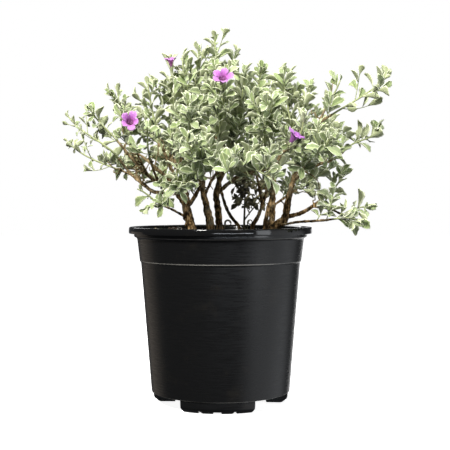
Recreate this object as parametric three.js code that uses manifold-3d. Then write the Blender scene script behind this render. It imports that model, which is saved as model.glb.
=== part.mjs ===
// Potted texas sage: a grey-leaved flowering shrub in the moulded nursery pot that it was grown in.
// Millimetres, +Z up. The origin is on the floor, on the pot's axis, and the front view looks along +Y.
import * as THREE from "three";
import { mergeVertices } from "three/addons/utils/BufferGeometryUtils.js";
import Module from "manifold-3d";

const wasm = await Module();
wasm.setup();

// The pot: radii are outer ones, heights are above the floor.
const pot = {
  facets: 30,
  height: 230,
  wall: 1.8,
  cutPast: 4,
  lip: { radius: 120, height: 8.2, thickness: 1.6, round: 1 },
  neck: { radius: 113, height: 4.2 },
  band: { radius: 109, drop: 14.5 },
  step: { height: 186, above: 105.5, below: 104, slope: 2 },
  heel: { radius: 90.4, height: 16, setBack: 2 },
  floor: { thickness: 2.2 },
  foot: { count: 3, inner: 59, flatRadius: 80, chamferHeight: 6, draft: 0.6, halfAngle: 32, turn: -2.8 },
  notch: { halfAngle: 15.5, width: 7, height: 5, midWidth: 11, midHeight: 3 },
  drain: { radius: 4.5, sides: 8, circle: 74, halfAngle: 13, centre: 6 },
};

// The soil fills the pot to a little under the rim.
const soil = { clearance: 0.4, drop: 13, rise: 2.5, flatRadius: 66, waves: 1.2, waveX: 0.11, waveY: 0.09 };

// How far one grown piece stays from another and from the pot's rim.
const growth = { gap: 0.3, room: 3.4, beyondRim: 4, aboveRim: 6, sample: 5, seed: 7919 };

// A spray: its twig, its side twigs and its leaves.
const twig = { base: 1.4, end: 0.95, sides: 3, steps: 3, overhang: 11, reach: 0.34, rise: 0.45,
  firstLeaf: 0.2, leafStride: 5 };
const sideTwig = { pitch: 24, least: 2, most: 5, radius: 0.65, sides: 3, first: 0.16, last: 0.8, spread: 47,
  length: 0.52, shorten: 0.42, vary: [0.85, 1.15], rise: 0.3, firstLeaf: 0.3, leafStride: 6,
  bends: [0, 0.45, -0.45, 0.9, -0.9, 1.35, -1.35] };
const leaf = { corners: 5, length: 21, width: 0.5, widest: 0.58, keel: 1.5, cup: 0.05, bend: 0.16, sunk: 0.2,
  lengths: [0.82, 1.2], widths: [0.88, 1.12], roll: 0.35, turns: [0, 0.5, -0.5, 1, -1] };

// How leaves sit on a twig: their pitch, and how size and spread change from the tip down over the first few.
const crowd = { pitch: 5.35, extra: 3, lastRoot: 0.97, thinning: 1.15, young: 0.6, growing: 0.13, old: 0.85,
  oldest: 3, upright: 16, open: 44, opening: 4, vary: [-8, 10] };
const goldenAngle = THREE.MathUtils.degToRad(137.5);

// A bloom: a funnel with five lobes, and the green calyx that holds it.
const bloom = { facets: 20, radius: 12.5, depth: 13.5, base: 1.7, throat: 4.6, lobeNotch: 0.6,
  notchDrop: 0.12, waist: 0.62, rim: 0.93, edge: 0.3, inside: 0.5 };
const calyx = { length: 5, base: 1, mouth: 2.2, stalk: 0.8, bendBefore: 5, inside: 0.5, sides: 5 };

// Stems from left to right, then the ones behind. Each has its route, its radius at both ends, and limbs that
// end in a leafy spray. A limb starts inside what it grows from. A spray's tip is where its last leaf ends.
// A bloom that is not fully open has a size below 1.
const stems = {
  stem_left: {
    girth: [7.5, 4.2],
    sides: 8,
    route: [[-38, -14, 182], [-38, -15, 224], [-42, -15, 245], [-47, -13, 262], [-57, -11, 278]],
    limbs: {
      left_high: {
        girth: [2.9, 1.7],
        route: [[-56, -11, 276], [-84, -6, 275], [-98, 1, 283], [-119, 10, 300], [-135, 18, 320]],
        tip: [-212, 40, 388],
      },
      left_fork: {
        girth: [2.7, 1.6],
        route: [[-56, -12, 277], [-78, -17, 286], [-94, -24, 297], [-114, -32, 319], [-131, -38, 340]],
        tip: [-168, -45, 388],
      },
      left_back: {
        girth: [2.5, 1.6],
        route: [[-55, -10, 276], [-68, 2, 292], [-80, 12, 303], [-97, 25, 317], [-114, 35, 330]],
        tip: [-143, 60, 424],
      },
      left_low: { girth: [1.6, 1.4], route: [[-118, 10, 299], [-134, 12, 305]], tip: [-212, 28, 352] },
      left_hanging: {
        girth: [1.8, 1.4],
        route: [[-40, -15, 240], [-57, -25, 250], [-75, -35, 259]],
        tip: [-114, -56, 282],
        rise: -0.2,
      },
      left_bloom: {
        girth: [1.7, 1.4],
        route: [[-93, -24, 296], [-100, -40, 312], [-106, -52, 326]],
        tip: [-126, -84, 384],
        bloom: { name: "bloom_left", from: 0.55, base: [-110, -76, 358], aim: [0.12, -0.93, 0.33], size: 1 },
      },
      left_leader: {
        girth: [3, 1.8],
        route: [[-56, -11, 276], [-64, -14, 305], [-74, -19, 330]],
        tip: [-95, -22, 424],
      },
      left_top: {
        girth: [2.2, 1.6],
        route: [[-64, -14, 304], [-66, -8, 328]],
        tip: [-62, 0, 461],
        bloom: { name: "bloom_left_top", from: 0.62, base: [-65, -14, 437], aim: [-0.1, 0, 1], size: 0.66 },
      },
      left_front: {
        girth: [1.9, 1.5],
        route: [[-78, -17, 285], [-84, -40, 300], [-88, -60, 316]],
        tip: [-88, -114, 362],
      },
      left_front_low: {
        girth: [2, 1.5],
        route: [[-50, -13, 267], [-54, -38, 277], [-56, -64, 284]],
        tip: [-46, -140, 274],
        rise: -0.1,
      },
      front_left: {
        girth: [3, 1.7],
        route: [[-44, -14, 254], [-33, -22, 270], [-26, -38, 284], [-26, -58, 296]],
        tip: [-40, -154, 346],
      },
    },
  },
  stem_centre_left: {
    girth: [5.5, 3.4],
    sides: 7,
    route: [[-11, -30, 182], [-12, -30, 224], [-18, -29, 256], [-22, -28, 274], [-25, -28, 300]],
    limbs: {
      centre_left_top: {
        girth: [2.4, 1.6],
        route: [[-25, -28, 298], [-34, -22, 322], [-40, -16, 342]],
        tip: [-50, -10, 463],
      },
      centre_left_front: {
        girth: [2.2, 1.5],
        route: [[-25, -28, 297], [-30, -44, 318], [-34, -58, 335]],
        tip: [-40, -112, 394],
      },
      centre_front_high: {
        girth: [2.4, 1.6],
        route: [[-24, -28, 294], [-12, -36, 325], [-5, -42, 345]],
        tip: [8, -70, 434],
        bloom: { name: "bloom_middle", from: 0.6, base: [2, -68, 414], aim: [0.02, -0.8, 0.6], size: 1.08 },
      },
      front_centre: {
        girth: [2, 1.5],
        route: [[-21, -29, 270], [-12, -48, 288], [-4, -68, 300]],
        tip: [12, -178, 308],
      },
    },
  },
  stem_centre: {
    girth: [5, 3],
    sides: 7,
    route: [[-1, 11, 182], [-1, 10, 224], [-4, 10, 257], [-6, 8, 272], [-2, 5, 290], [3, 2, 325]],
    limbs: {
      top: { girth: [2.7, 1.8], route: [[3, 2, 322], [4, 0, 350]], tip: [-9, 0, 491] },
      top_left_rear: {
        girth: [2.2, 1.6],
        route: [[2, 3, 318], [-10, 16, 342]],
        tip: [-31, 30, 477],
      },
      centre_right_top: {
        girth: [2.2, 1.6],
        route: [[2, 3, 316], [14, -4, 343]],
        tip: [33, -22, 444],
      },
      right_rear: {
        girth: [3, 1.8],
        route: [[-5, 9, 274], [13, 18, 289], [28, 25, 299], [49, 32, 304], [65, 40, 306]],
        tip: [116, 112, 366],
      },
      top_right_rear: {
        girth: [2.2, 1.5],
        route: [[-2, 5, 288], [12, 22, 315], [26, 30, 340]],
        tip: [57, 30, 452],
      },
    },
  },
  stem_thin_rear: {
    girth: [2.5, 1.9],
    sides: 6,
    route: [[27, 40, 182], [26, 40, 224], [13, 42, 244], [5, 46, 262], [-2, 54, 290]],
    limbs: {
      rear_centre: {
        girth: [1.9, 1.5],
        route: [[-2, 53, 287], [-8, 66, 315], [-10, 76, 335]],
        tip: [-18, 142, 418],
      },
    },
  },
  stem_thin_front: {
    girth: [2.7, 2],
    sides: 6,
    route: [[38, -33, 182], [39, -34, 224], [48, -36, 245], [54, -38, 262], [60, -38, 282]],
    limbs: {
      front_right_low: {
        girth: [1.9, 1.5],
        route: [[53, -38, 259], [48, -58, 282], [44, -78, 296]],
        tip: [58, -168, 304],
      },
      front_right: {
        girth: [1.9, 1.5],
        route: [[60, -38, 280], [60, -40, 310], [56, -50, 335]],
        tip: [64, -104, 396],
      },
    },
  },
  stem_red: {
    girth: [3, 2.2],
    sides: 6,
    route: [[53, -56, 182], [55, -56, 224], [59, -58, 251], [64, -60, 270], [68, -63, 297], [70, -66, 313]],
    limbs: {
      right_bloom: {
        girth: [2.1, 1.6],
        route: [[70, -66, 311], [76, -72, 323], [88, -80, 331]],
        tip: [104, -100, 376],
        bloom: { name: "bloom_right", from: 0.12, base: [86, -101, 337], aim: [0.4, -0.22, 0.88], size: 0.9 },
      },
    },
  },
  stem_right: {
    girth: [6.4, 2],
    sides: 8,
    route: [[60, -16, 182], [65, -18, 224], [82, -20, 240], [86, -20, 256], [88, -20, 268], [94, -18, 291],
      [99, -15, 308], [102, -6, 330]],
    limbs: {
      right_top: { girth: [2, 1.5], route: [[100, -9, 320], [95, -8, 345]], tip: [80, -10, 443] },
      right_shoulder: {
        girth: [2, 1.5],
        route: [[102, -6, 328], [107, -2, 348]],
        tip: [116, 2, 426],
      },
      upper_right: {
        girth: [2.3, 1.6],
        route: [[100, -13, 314], [108, -32, 345], [124, -42, 362], [141, -46, 373]],
        tip: [216, -54, 432],
      },
      upper_right_shoot: {
        girth: [1.7, 1.4],
        route: [[124, -41, 361], [132, -30, 378]],
        tip: [156, -28, 428],
      },
      right_middle: {
        girth: [2.5, 1.6],
        route: [[94, -18, 290], [112, -14, 305], [127, -10, 311], [147, -9, 318], [166, -9, 334]],
        tip: [212, -10, 362],
      },
      right_low_fork: {
        girth: [3.2, 1.7],
        route: [[83, -20, 243], [105, -26, 249], [122, -32, 260], [134, -35, 270]],
        tip: [160, -44, 308],
      },
      right_low: {
        girth: [1.7, 1.4],
        route: [[117, -31, 257], [138, -36, 254], [152, -38, 248]],
        tip: [196, -40, 254],
        rise: -0.35,
      },
      right_lowest: {
        girth: [1.8, 1.4],
        route: [[74, -20, 232], [98, -38, 237], [124, -52, 239], [140, -58, 241]],
        tip: [176, -80, 236],
        rise: -0.3,
      },
      right_front: {
        girth: [2, 1.5],
        route: [[93, -18, 288], [104, -40, 302], [112, -58, 314]],
        tip: [132, -124, 346],
      },
      right_fill: {
        girth: [2, 1.5],
        route: [[99, -15, 306], [114, 12, 322], [124, 30, 336]],
        tip: [158, 84, 386],
      },
    },
  },
  stem_rear_left: {
    girth: [5, 3],
    sides: 7,
    route: [[-40, 54, 182], [-41, 56, 224], [-45, 66, 252], [-50, 80, 285], [-54, 90, 310]],
    limbs: {
      rear_left: {
        girth: [2.4, 1.6],
        route: [[-53, 87, 303], [-74, 98, 330], [-88, 104, 345]],
        tip: [-134, 128, 400],
      },
      rear_left_low: {
        girth: [2, 1.5],
        route: [[-49, 79, 283], [-54, 104, 300], [-58, 120, 312]],
        tip: [-80, 174, 362],
      },
      rear_left_top: {
        girth: [2.2, 1.6],
        route: [[-54, 89, 307], [-56, 92, 340]],
        tip: [-56, 104, 448],
        bloom: { name: "bloom_rear_left", from: 0.6, base: [-58, 112, 418], aim: [-0.3, 0.8, 0.5], size: 1 },
      },
      left_rear_low: {
        girth: [2, 1.5],
        route: [[-47, 71, 265], [-70, 82, 280], [-92, 92, 296]],
        tip: [-166, 118, 334],
      },
    },
  },
  stem_rear_right: {
    girth: [5, 3],
    sides: 7,
    route: [[68, 60, 182], [69, 62, 224], [72, 72, 255], [73, 84, 285], [70, 92, 308]],
    limbs: {
      rear_right_top: {
        girth: [2.2, 1.6],
        route: [[70, 91, 305], [66, 94, 333]],
        tip: [56, 100, 442],
      },
      rear_right_low: {
        girth: [2, 1.5],
        route: [[73, 83, 282], [74, 108, 300], [76, 124, 312]],
        tip: [84, 170, 354],
        bloom: { name: "bloom_rear_right", from: 0.6, base: [72, 157, 345], aim: [-0.2, 0.8, 0.5], size: 1 },
      },
      rear_middle_low: {
        girth: [2, 1.5],
        route: [[73, 80, 275], [50, 100, 288], [32, 116, 298]],
        tip: [4, 174, 336],
      },
      right_rear_low: {
        girth: [2, 1.5],
        route: [[72, 73, 257], [92, 84, 270], [106, 90, 280]],
        tip: [162, 112, 324],
      },
    },
  },
};

// The dried twig that stands in the shade among the stems.
const withered = {
  name: "withered_twig",
  girth: [2, 1],
  sides: 5,
  route: [[31, 14, 182], [31, 14, 224], [32, 16, 258], [33, 18, 292]],
  leaves: 12,
  leafLength: 19,
  firstLeaf: 0.62,
  spread: [70, 115],
  roll: 0.8,
};

const finish = {
  pot: { color: "#1d1e20", roughness: 0.42, metalness: 0 },
  soil: { color: "#3a2c22", roughness: 0.95, metalness: 0 },
  wood: { color: "#6b4a2b", roughness: 0.85, metalness: 0 },
  withered: { color: "#2e2a1c", roughness: 0.9, metalness: 0 },
  leaf: { color: "#a9b58c", roughness: 0.7, metalness: 0 },
  bloom: { color: "#b45bd0", roughness: 0.6, metalness: 0 },
};

const up = new THREE.Vector3(0, 0, 1);
const point = (place) => new THREE.Vector3(...place);
const degrees = THREE.MathUtils.degToRad;

// A seeded draw between 0 and 1, the same in every run.
class Dice {
  constructor(seed) {
    this.state = seed >>> 0;
  }

  next() {
    this.state = (Math.imul(this.state, 1664525) + 1013904223) >>> 0;
    return this.state / 4294967296;
  }

  between(low, high) {
    return low + (high - low) * this.next();
  }
}

// A closed geometry as a solid: shared corners are merged and faces with no area are left out.
function solidFrom(geometry) {
  geometry.deleteAttribute("normal");
  geometry.deleteAttribute("uv");
  const merged = mergeVertices(geometry, 1e-4);
  const corners = merged.index.array;
  const kept = [];
  for (let i = 0; i < corners.length; i += 3) {
    const [a, b, c] = corners.slice(i, i + 3);
    if (a !== b && b !== c && c !== a) kept.push(a, b, c);
  }
  return new wasm.Manifold(new wasm.Mesh({
    numProp: 3,
    vertProperties: merged.attributes.position.array,
    triVerts: new Uint32Array(kept),
  }));
}

function geometryFrom(solid) {
  const mesh = solid.getMesh();
  const geometry = new THREE.BufferGeometry();
  geometry.setAttribute("position", new THREE.BufferAttribute(mesh.vertProperties, 3));
  geometry.setIndex(new THREE.BufferAttribute(mesh.triVerts, 1));
  geometry.computeVertexNormals();
  return geometry;
}

function named(name, solid, look) {
  const mesh = new THREE.Mesh(geometryFrom(solid), new THREE.MeshStandardMaterial(look));
  mesh.name = name;
  return mesh;
}

// A tapering round bar through a list of places: a straight extrusion whose sections are then set on them.
// Its first section is square to the way it sets out, where one is given.
function bar(places, girth, sides, setOut) {
  const steps = places.length - 1;
  const corners = [];
  for (let i = 0; i < sides; i++) {
    const turn = (i / sides) * Math.PI * 2;
    corners.push(new THREE.Vector2(Math.cos(turn), Math.sin(turn)));
  }
  const section = new THREE.Shape(corners);
  const geometry = new THREE.ExtrudeGeometry(section, { depth: 1, steps, bevelEnabled: false });
  let across = null;
  const frames = places.map((place, i) => {
    const ahead = i === 0 && setOut ? setOut
      : places[Math.min(i + 1, steps)].clone().sub(places[Math.max(i - 1, 0)]).normalize();
    across = across
      ? across.clone().addScaledVector(ahead, -across.dot(ahead)).normalize()
      : sideways(ahead, 0);
    return { across, over: ahead.clone().cross(across) };
  });
  const corner = geometry.attributes.position;
  for (let i = 0; i < corner.count; i++) {
    const step = Math.round(corner.getZ(i) * steps);
    const radius = THREE.MathUtils.lerp(girth[0], girth[1], step / steps);
    const place = places[step].clone()
      .addScaledVector(frames[step].across, corner.getX(i) * radius)
      .addScaledVector(frames[step].over, corner.getY(i) * radius);
    corner.setXYZ(i, place.x, place.y, place.z);
  }
  return solidFrom(geometry);
}

// A place part of the way along the straight steps between the given places.
function onBar(places, at) {
  const step = Math.min(Math.floor(at * (places.length - 1)), places.length - 2);
  return places[step].clone().lerp(places[step + 1], at * (places.length - 1) - step);
}

function lathe(profile, facets) {
  const turned = new THREE.LatheGeometry(profile.map(([r, z]) => new THREE.Vector2(r, z)), facets);
  turned.rotateX(Math.PI / 2);
  return solidFrom(turned);
}

// A wedge of the whole base from the axis outwards, up to a height: the gap between two feet.
function sector(halfAngle, height, outer, angle) {
  const reach = outer / Math.cos(halfAngle);
  const outline = new THREE.Shape([
    new THREE.Vector2(0, 0),
    new THREE.Vector2(-reach * Math.sin(halfAngle), -outer),
    new THREE.Vector2(reach * Math.sin(halfAngle), -outer),
  ]);
  const wedge = new THREE.ExtrudeGeometry(outline, { depth: height + 1, bevelEnabled: false });
  wedge.translate(0, 0, -1);
  wedge.rotateZ(angle);
  return solidFrom(wedge);
}

// A block that starts at an inner radius and points outwards at an angle from the front.
function radialBlock(width, low, high, inner, outer, angle) {
  const block = new THREE.BoxGeometry(width, outer - inner, high - low);
  block.translate(0, -(inner + outer) / 2, (low + high) / 2);
  block.rotateZ(angle);
  return solidFrom(block);
}

// A wedge with its edge up, for the small notches under a foot.
function radialWedge(width, height, inner, outer, angle) {
  const outline = new THREE.Shape([
    new THREE.Vector2(-width / 2 - width / height, -1),
    new THREE.Vector2(width / 2 + width / height, -1),
    new THREE.Vector2(0, height),
  ]);
  const wedge = new THREE.ExtrudeGeometry(outline, { depth: outer - inner, bevelEnabled: false });
  wedge.rotateX(Math.PI / 2);
  wedge.translate(0, -inner, 0);
  wedge.rotateZ(angle);
  return solidFrom(wedge);
}

// The body, the turned-out lip over its neck band, the step, and the base ring under the heel.
function potShell() {
  const { lip, neck, band, step, heel, floor, foot } = pot;
  const underLip = pot.height - lip.height;
  const inLip = lip.radius - lip.thickness;
  const bottomInside = heel.height + floor.thickness;
  return lathe([
    [0, heel.height],
    [foot.inner, heel.height],
    [foot.inner + 1, 0],
    [foot.flatRadius, 0],
    [heel.radius - heel.setBack - foot.draft, foot.chamferHeight],
    [heel.radius - heel.setBack, heel.height],
    [heel.radius, heel.height],
    [step.below, step.height - step.slope],
    [step.above, step.height],
    [band.radius, pot.height - band.drop],
    [neck.radius, underLip - neck.height],
    [neck.radius, pot.height - lip.thickness],
    [inLip, pot.height - lip.thickness],
    [inLip, underLip],
    [lip.radius, underLip],
    [lip.radius, pot.height - lip.round],
    [lip.radius - lip.round, pot.height],
    [neck.radius - pot.wall, pot.height],
    [band.radius - pot.wall, pot.height - band.drop],
    [step.below - pot.wall, step.height - step.slope],
    [heel.radius - pot.wall - foot.draft, bottomInside],
    [0, bottomInside],
  ], pot.facets);
}

function makePot() {
  const { foot, notch, drain, heel } = pot;
  const share = (Math.PI * 2) / foot.count;
  const outside = heel.radius + pot.cutPast;
  const inside = foot.inner - pot.cutPast;
  let body = potShell();
  const drill = (radius, circle, angle) => {
    const hole = new THREE.CylinderGeometry(radius, radius, heel.height, drain.sides);
    hole.rotateX(Math.PI / 2);
    hole.translate(circle * Math.sin(angle), -circle * Math.cos(angle), heel.height);
    return solidFrom(hole);
  };
  for (let i = 0; i < foot.count; i++) {
    const centre = degrees(foot.turn) + share * i;
    const between = centre + share / 2;
    body = body.subtract(sector(share / 2 - degrees(foot.halfAngle), heel.height, outside, between));
    body = body.subtract(radialBlock(notch.midWidth, -1, notch.midHeight, inside, outside, centre));
    for (const side of [-1, 1]) {
      const angle = centre + side * degrees(notch.halfAngle);
      body = body.subtract(radialWedge(notch.width, notch.height, inside, outside, angle));
      body = body.subtract(drill(drain.radius, drain.circle, between + side * degrees(drain.halfAngle)));
    }
  }
  return body.subtract(drill(drain.centre, 0, 0));
}

// The soil follows the pot's inner wall, and its top is slightly uneven.
function makeSoil(holes) {
  const { band, step, heel, floor } = pot;
  const inset = pot.wall + soil.clearance;
  const edge = pot.height - soil.drop - soil.rise;
  const bottom = heel.height + floor.thickness + soil.clearance;
  const turned = new THREE.LatheGeometry([
    [0, bottom],
    [heel.radius - inset - 0.8, bottom],
    [step.below - inset, step.height - step.slope],
    [band.radius - inset, edge],
    [soil.flatRadius, edge + soil.rise],
    [0, edge + soil.rise],
  ].map(([r, z]) => new THREE.Vector2(r, z)), pot.facets);
  turned.rotateX(Math.PI / 2);
  const places = turned.attributes.position;
  for (let i = 0; i < places.count; i++) {
    const [x, y, z] = [places.getX(i), places.getY(i), places.getZ(i)];
    const wave = soil.waves * Math.sin(x * soil.waveX + 1) * Math.cos(y * soil.waveY);
    if (z > edge + 0.1) places.setZ(i, z + wave);
  }
  let body = solidFrom(turned);
  for (const hole of holes) body = body.subtract(hole);
  return body;
}

// The hole that a stem stands in: the stem itself, a little larger all round and a little lower.
function rootHole(stem) {
  const girth = stem.girth.map((radius) => radius + soil.clearance * 1.3);
  return bar(stem.route.map(point), girth, stem.sides).translate(0, 0, -soil.clearance);
}

function makeStem(stem) {
  const pieces = [bar(stem.route.map(point), stem.girth, stem.sides)];
  for (const limb of Object.values(stem.limbs)) {
    pieces.push(bar(limb.route.map(point), limb.girth, limb.girth[0] < 2.2 ? 3 : 4));
  }
  return wasm.Manifold.union(pieces);
}

// Places along a bar with its radius there, to keep later pieces clear of it.
function samples(places, girth, owner) {
  const long = places.slice(1).reduce((sum, place, i) => sum + place.distanceTo(places[i]), 0);
  const count = Math.max(2, Math.ceil(long / growth.sample));
  return Array.from({ length: count + 1 }, (unused, i) => ({
    place: onBar(places, i / count),
    radius: THREE.MathUtils.lerp(girth[0], girth[1], i / count),
    owner,
  }));
}

function isClear(places, girth, owner, taken) {
  const overRim = (place) => Math.hypot(place.x, place.y) > pot.lip.radius + growth.beyondRim
    || place.z > pot.height + growth.aboveRim;
  return samples(places, girth, owner).every((mine) => overRim(mine.place) && taken.every((other) =>
    other.owner === owner || mine.place.distanceTo(other.place) > mine.radius + other.radius + growth.room));
}

// A direction square to another one, turned by an angle about it.
function sideways(axis, angle) {
  const reference = Math.abs(axis.y) < 0.8 ? new THREE.Vector3(0, 1, 0) : new THREE.Vector3(1, 0, 0);
  const first = reference.cross(axis).normalize();
  const second = axis.clone().cross(first);
  return first.multiplyScalar(Math.cos(angle)).addScaledVector(second, Math.sin(angle));
}

// The twig of a spray carries on from its limb and rises to the tip, and side twigs spiral round it. A side
// twig takes the first of several turns that keeps it clear of everything that is already there.
function planTwigs(name, limb, order, taken) {
  const dice = new Dice(growth.seed * (order + 1));
  const [before, cap] = limb.route.slice(-2).map(point);
  const heading = cap.clone().sub(before).normalize();
  const start = cap.clone().addScaledVector(heading, growth.gap);
  const tip = point(limb.tip);
  const finalWay = tip.clone().sub(start).normalize().addScaledVector(up, limb.rise ?? twig.rise).normalize();
  const end = tip.addScaledVector(finalWay, -twig.overhang);
  const reach = end.distanceTo(start) * twig.reach;
  const main = new THREE.CubicBezierCurve3(
    start,
    start.clone().addScaledVector(heading, reach),
    end.clone().addScaledVector(finalWay, -reach),
    end,
  );
  const length = end.distanceTo(start);
  const places = main.getPoints(twig.steps);
  const twigs = [{ ...twig, places, length, girth: [twig.base, twig.end], setOut: heading }];
  const phase = dice.between(0, Math.PI * 2);
  const count = THREE.MathUtils.clamp(Math.round(length / sideTwig.pitch), sideTwig.least, sideTwig.most);
  for (let i = 0; i < count; i++) {
    const at = sideTwig.first + (sideTwig.last - sideTwig.first) * (i / (count - 1));
    const sideLength = length * (sideTwig.length - sideTwig.shorten * at) * dice.between(...sideTwig.vary);
    const root = onBar(places, at);
    const along = main.getTangent(at);
    const spread = degrees(sideTwig.spread);
    for (const bend of sideTwig.bends) {
      const way = along.clone().multiplyScalar(Math.cos(spread))
        .addScaledVector(sideways(along, phase + i * goldenAngle + bend), Math.sin(spread));
      const sideEnd = root.clone().addScaledVector(way, sideLength)
        .addScaledVector(up, sideLength * (limb.rise ?? sideTwig.rise));
      const side = { ...sideTwig, places: [root, sideEnd], length: sideLength,
        girth: [sideTwig.radius, sideTwig.radius] };
      if (!isClear(side.places, side.girth, name, taken)) continue;
      twigs.push(side);
      taken.push(...samples(side.places, side.girth, name));
      break;
    }
  }
  return twigs;
}

// Leaves spiral down a twig from its tip, small and upright there, then larger and wider spread.
function planLeaves(part, dice) {
  const leafy = part.length * (1 - part.firstLeaf);
  const count = Math.round(leafy / crowd.pitch) + crowd.extra;
  const phase = dice.between(0, Math.PI * 2);
  return Array.from({ length: count }, (unused, i) => {
    const at = crowd.lastRoot - (crowd.lastRoot - part.firstLeaf) * (i / (count - 1)) ** crowd.thinning;
    const grown = Math.min(1, crowd.young + crowd.growing * i) * (i > count - crowd.oldest ? crowd.old : 1);
    return {
      root: onBar(part.places, at),
      stalk: onBar(part.places, Math.min(at + 0.02, 1)).sub(onBar(part.places, at - 0.02)).normalize(),
      turn: phase + i * goldenAngle,
      spread: degrees(
        crowd.upright + crowd.open * Math.min(1, i / crowd.opening) + dice.between(...crowd.vary),
      ),
      length: leaf.length * grown * dice.between(...leaf.lengths),
      width: leaf.width * dice.between(...leaf.widths),
      roll: dice.between(-leaf.roll, leaf.roll),
    };
  });
}

// One spoon-shaped blade: a ring of five corners from its root, widest past the middle, a keel under it, and
// a top face that fans out from the ring's second corner.
function leafBlade(plan, turn) {
  const outward = sideways(plan.stalk, plan.turn + turn);
  const along = plan.stalk.clone().multiplyScalar(Math.cos(plan.spread))
    .addScaledVector(outward, Math.sin(plan.spread)).normalize();
  const across = along.clone().cross(plan.stalk).normalize().applyAxisAngle(along, plan.roll);
  const over = across.clone().cross(along);
  const halfWidth = (plan.length * plan.width) / 2;
  const geometry = new THREE.SphereGeometry(1, leaf.corners, 2);
  const places = geometry.attributes.position;
  const second = (Math.PI * 2) / leaf.corners;
  const corner = new THREE.Vector3(-Math.cos(second), 0, Math.sin(second));
  for (let i = 0; i < places.count; i++) {
    const ring = new THREE.Vector3().fromBufferAttribute(places, i);
    const keel = ring.y < -0.5;
    if (ring.y > 0.5) ring.copy(corner);
    const part = keel ? leaf.widest : ((ring.x + 1) / 2) ** 0.5;
    const side = keel ? 0 : ring.z;
    const lift = plan.length * (leaf.cup * side * side - leaf.bend * part * part) - (keel ? leaf.keel : 0);
    const place = plan.root.clone()
      .addScaledVector(along, plan.length * part - leaf.sunk)
      .addScaledVector(across, halfWidth * side)
      .addScaledVector(over, lift);
    places.setXYZ(i, place.x, place.y, place.z);
  }
  return solidFrom(geometry);
}

function near(solid, other, gap) {
  const [a, b] = [solid.boundingBox(), other.boundingBox()];
  const apart = [0, 1, 2].some((i) => a.min[i] > b.max[i] + gap || b.min[i] > a.max[i] + gap);
  return !apart && solid.minGap(other, gap * 2) < gap;
}

// A stalk from the twig to the bloom, and the green cup that the bloom stands in.
function makeCalyx(twigPlaces, plan) {
  const base = point(plan.base);
  const aim = point(plan.aim).normalize();
  const foot = onBar(twigPlaces, plan.from);
  const cup = base.clone().addScaledVector(aim, -calyx.length - growth.gap);
  const bend = cup.clone().addScaledVector(aim, -calyx.bendBefore);
  const stalk = [foot, bend, cup.clone().addScaledVector(aim, calyx.inside)];
  const mouth = cup.clone().addScaledVector(aim, calyx.length);
  const cupSolid = bar([cup, mouth], [calyx.base, calyx.mouth], calyx.sides);
  return bar(stalk, [calyx.stalk, calyx.stalk], 3).add(cupSolid);
}

// The funnel: a turned profile, drawn in between its five lobes.
function makeBloom() {
  const { radius, depth } = bloom;
  const turned = new THREE.LatheGeometry([
    [0, 0],
    [bloom.base, 0],
    [bloom.throat, depth * bloom.waist],
    [radius, depth * bloom.rim],
    [radius - bloom.edge, depth],
    [0, depth * bloom.inside],
  ].map(([r, z]) => new THREE.Vector2(r, z)), bloom.facets);
  turned.rotateX(Math.PI / 2);
  const places = turned.attributes.position;
  for (let i = 0; i < places.count; i++) {
    const [x, y, z] = [places.getX(i), places.getY(i), places.getZ(i)];
    if (Math.hypot(x, y) < radius / 2) continue;
    const lobe = Math.sqrt(Math.abs(Math.cos(2.5 * Math.atan2(y, x))));
    const drawn = bloom.lobeNotch + (1 - bloom.lobeNotch) * lobe;
    places.setXYZ(i, x * drawn, y * drawn, z - depth * bloom.notchDrop * (1 - lobe));
  }
  return solidFrom(turned);
}

function placeBloom(plan) {
  const turned = new THREE.Quaternion().setFromUnitVectors(up, point(plan.aim).normalize());
  return new THREE.Matrix4().compose(point(plan.base), turned, new THREE.Vector3().setScalar(plan.size));
}

function makeWithered() {
  const places = withered.route.map(point);
  const pieces = [bar(places, withered.girth, withered.sides)];
  const dice = new Dice(growth.seed);
  for (let i = 0; i < withered.leaves; i++) {
    const at = withered.firstLeaf + (1 - withered.firstLeaf) * (i / (withered.leaves - 1));
    const turn = i * goldenAngle;
    pieces.push(leafBlade({
      root: onBar(places, at),
      stalk: up.clone(),
      turn,
      spread: degrees(dice.between(...withered.spread)),
      length: withered.leafLength * dice.between(...leaf.lengths),
      width: leaf.width,
      roll: dice.between(-withered.roll, withered.roll),
    }, 0));
  }
  return wasm.Manifold.union(pieces);
}

const bush = new THREE.Group();
const body = makePot();
const stemSolids = Object.entries(stems).map(([name, stem]) => ({ name, solid: makeStem(stem) }));
const witheredSolid = makeWithered();
const soilBody = makeSoil([...Object.values(stems), withered].map(rootHole));
const woody = stemSolids.map((entry) => entry.solid);

bush.add(named("pot", body, finish.pot), named("soil", soilBody, finish.soil));
for (const { name, solid } of stemSolids) bush.add(named(name, solid, finish.wood));
bush.add(named(withered.name, witheredSolid, finish.withered));

// Blooms first, then every twig, then the leaves, which are turned clear of all of these or left out.
const limbs = Object.values(stems).flatMap((stem) => Object.entries(stem.limbs));
const bloomSolid = makeBloom();
const blooms = [];
for (const [, limb] of limbs) {
  if (!limb.bloom) continue;
  const placed = placeBloom(limb.bloom);
  const mesh = named(limb.bloom.name, bloomSolid, finish.bloom);
  mesh.applyMatrix4(placed);
  bush.add(mesh);
  blooms.push(bloomSolid.transform(placed.elements));
}

const taken = [];
for (const stem of Object.values(stems)) {
  taken.push(...samples(stem.route.map(point), stem.girth, ""));
  for (const limb of Object.values(stem.limbs)) taken.push(...samples(limb.route.map(point), limb.girth, ""));
}
for (const [, limb] of limbs) {
  if (!limb.bloom) continue;
  const { base, aim, size } = limb.bloom;
  const heart = point(base).addScaledVector(point(aim).normalize(), bloom.depth * bloom.waist * size);
  taken.push({ place: heart, radius: bloom.radius * size, owner: "" });
}

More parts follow.
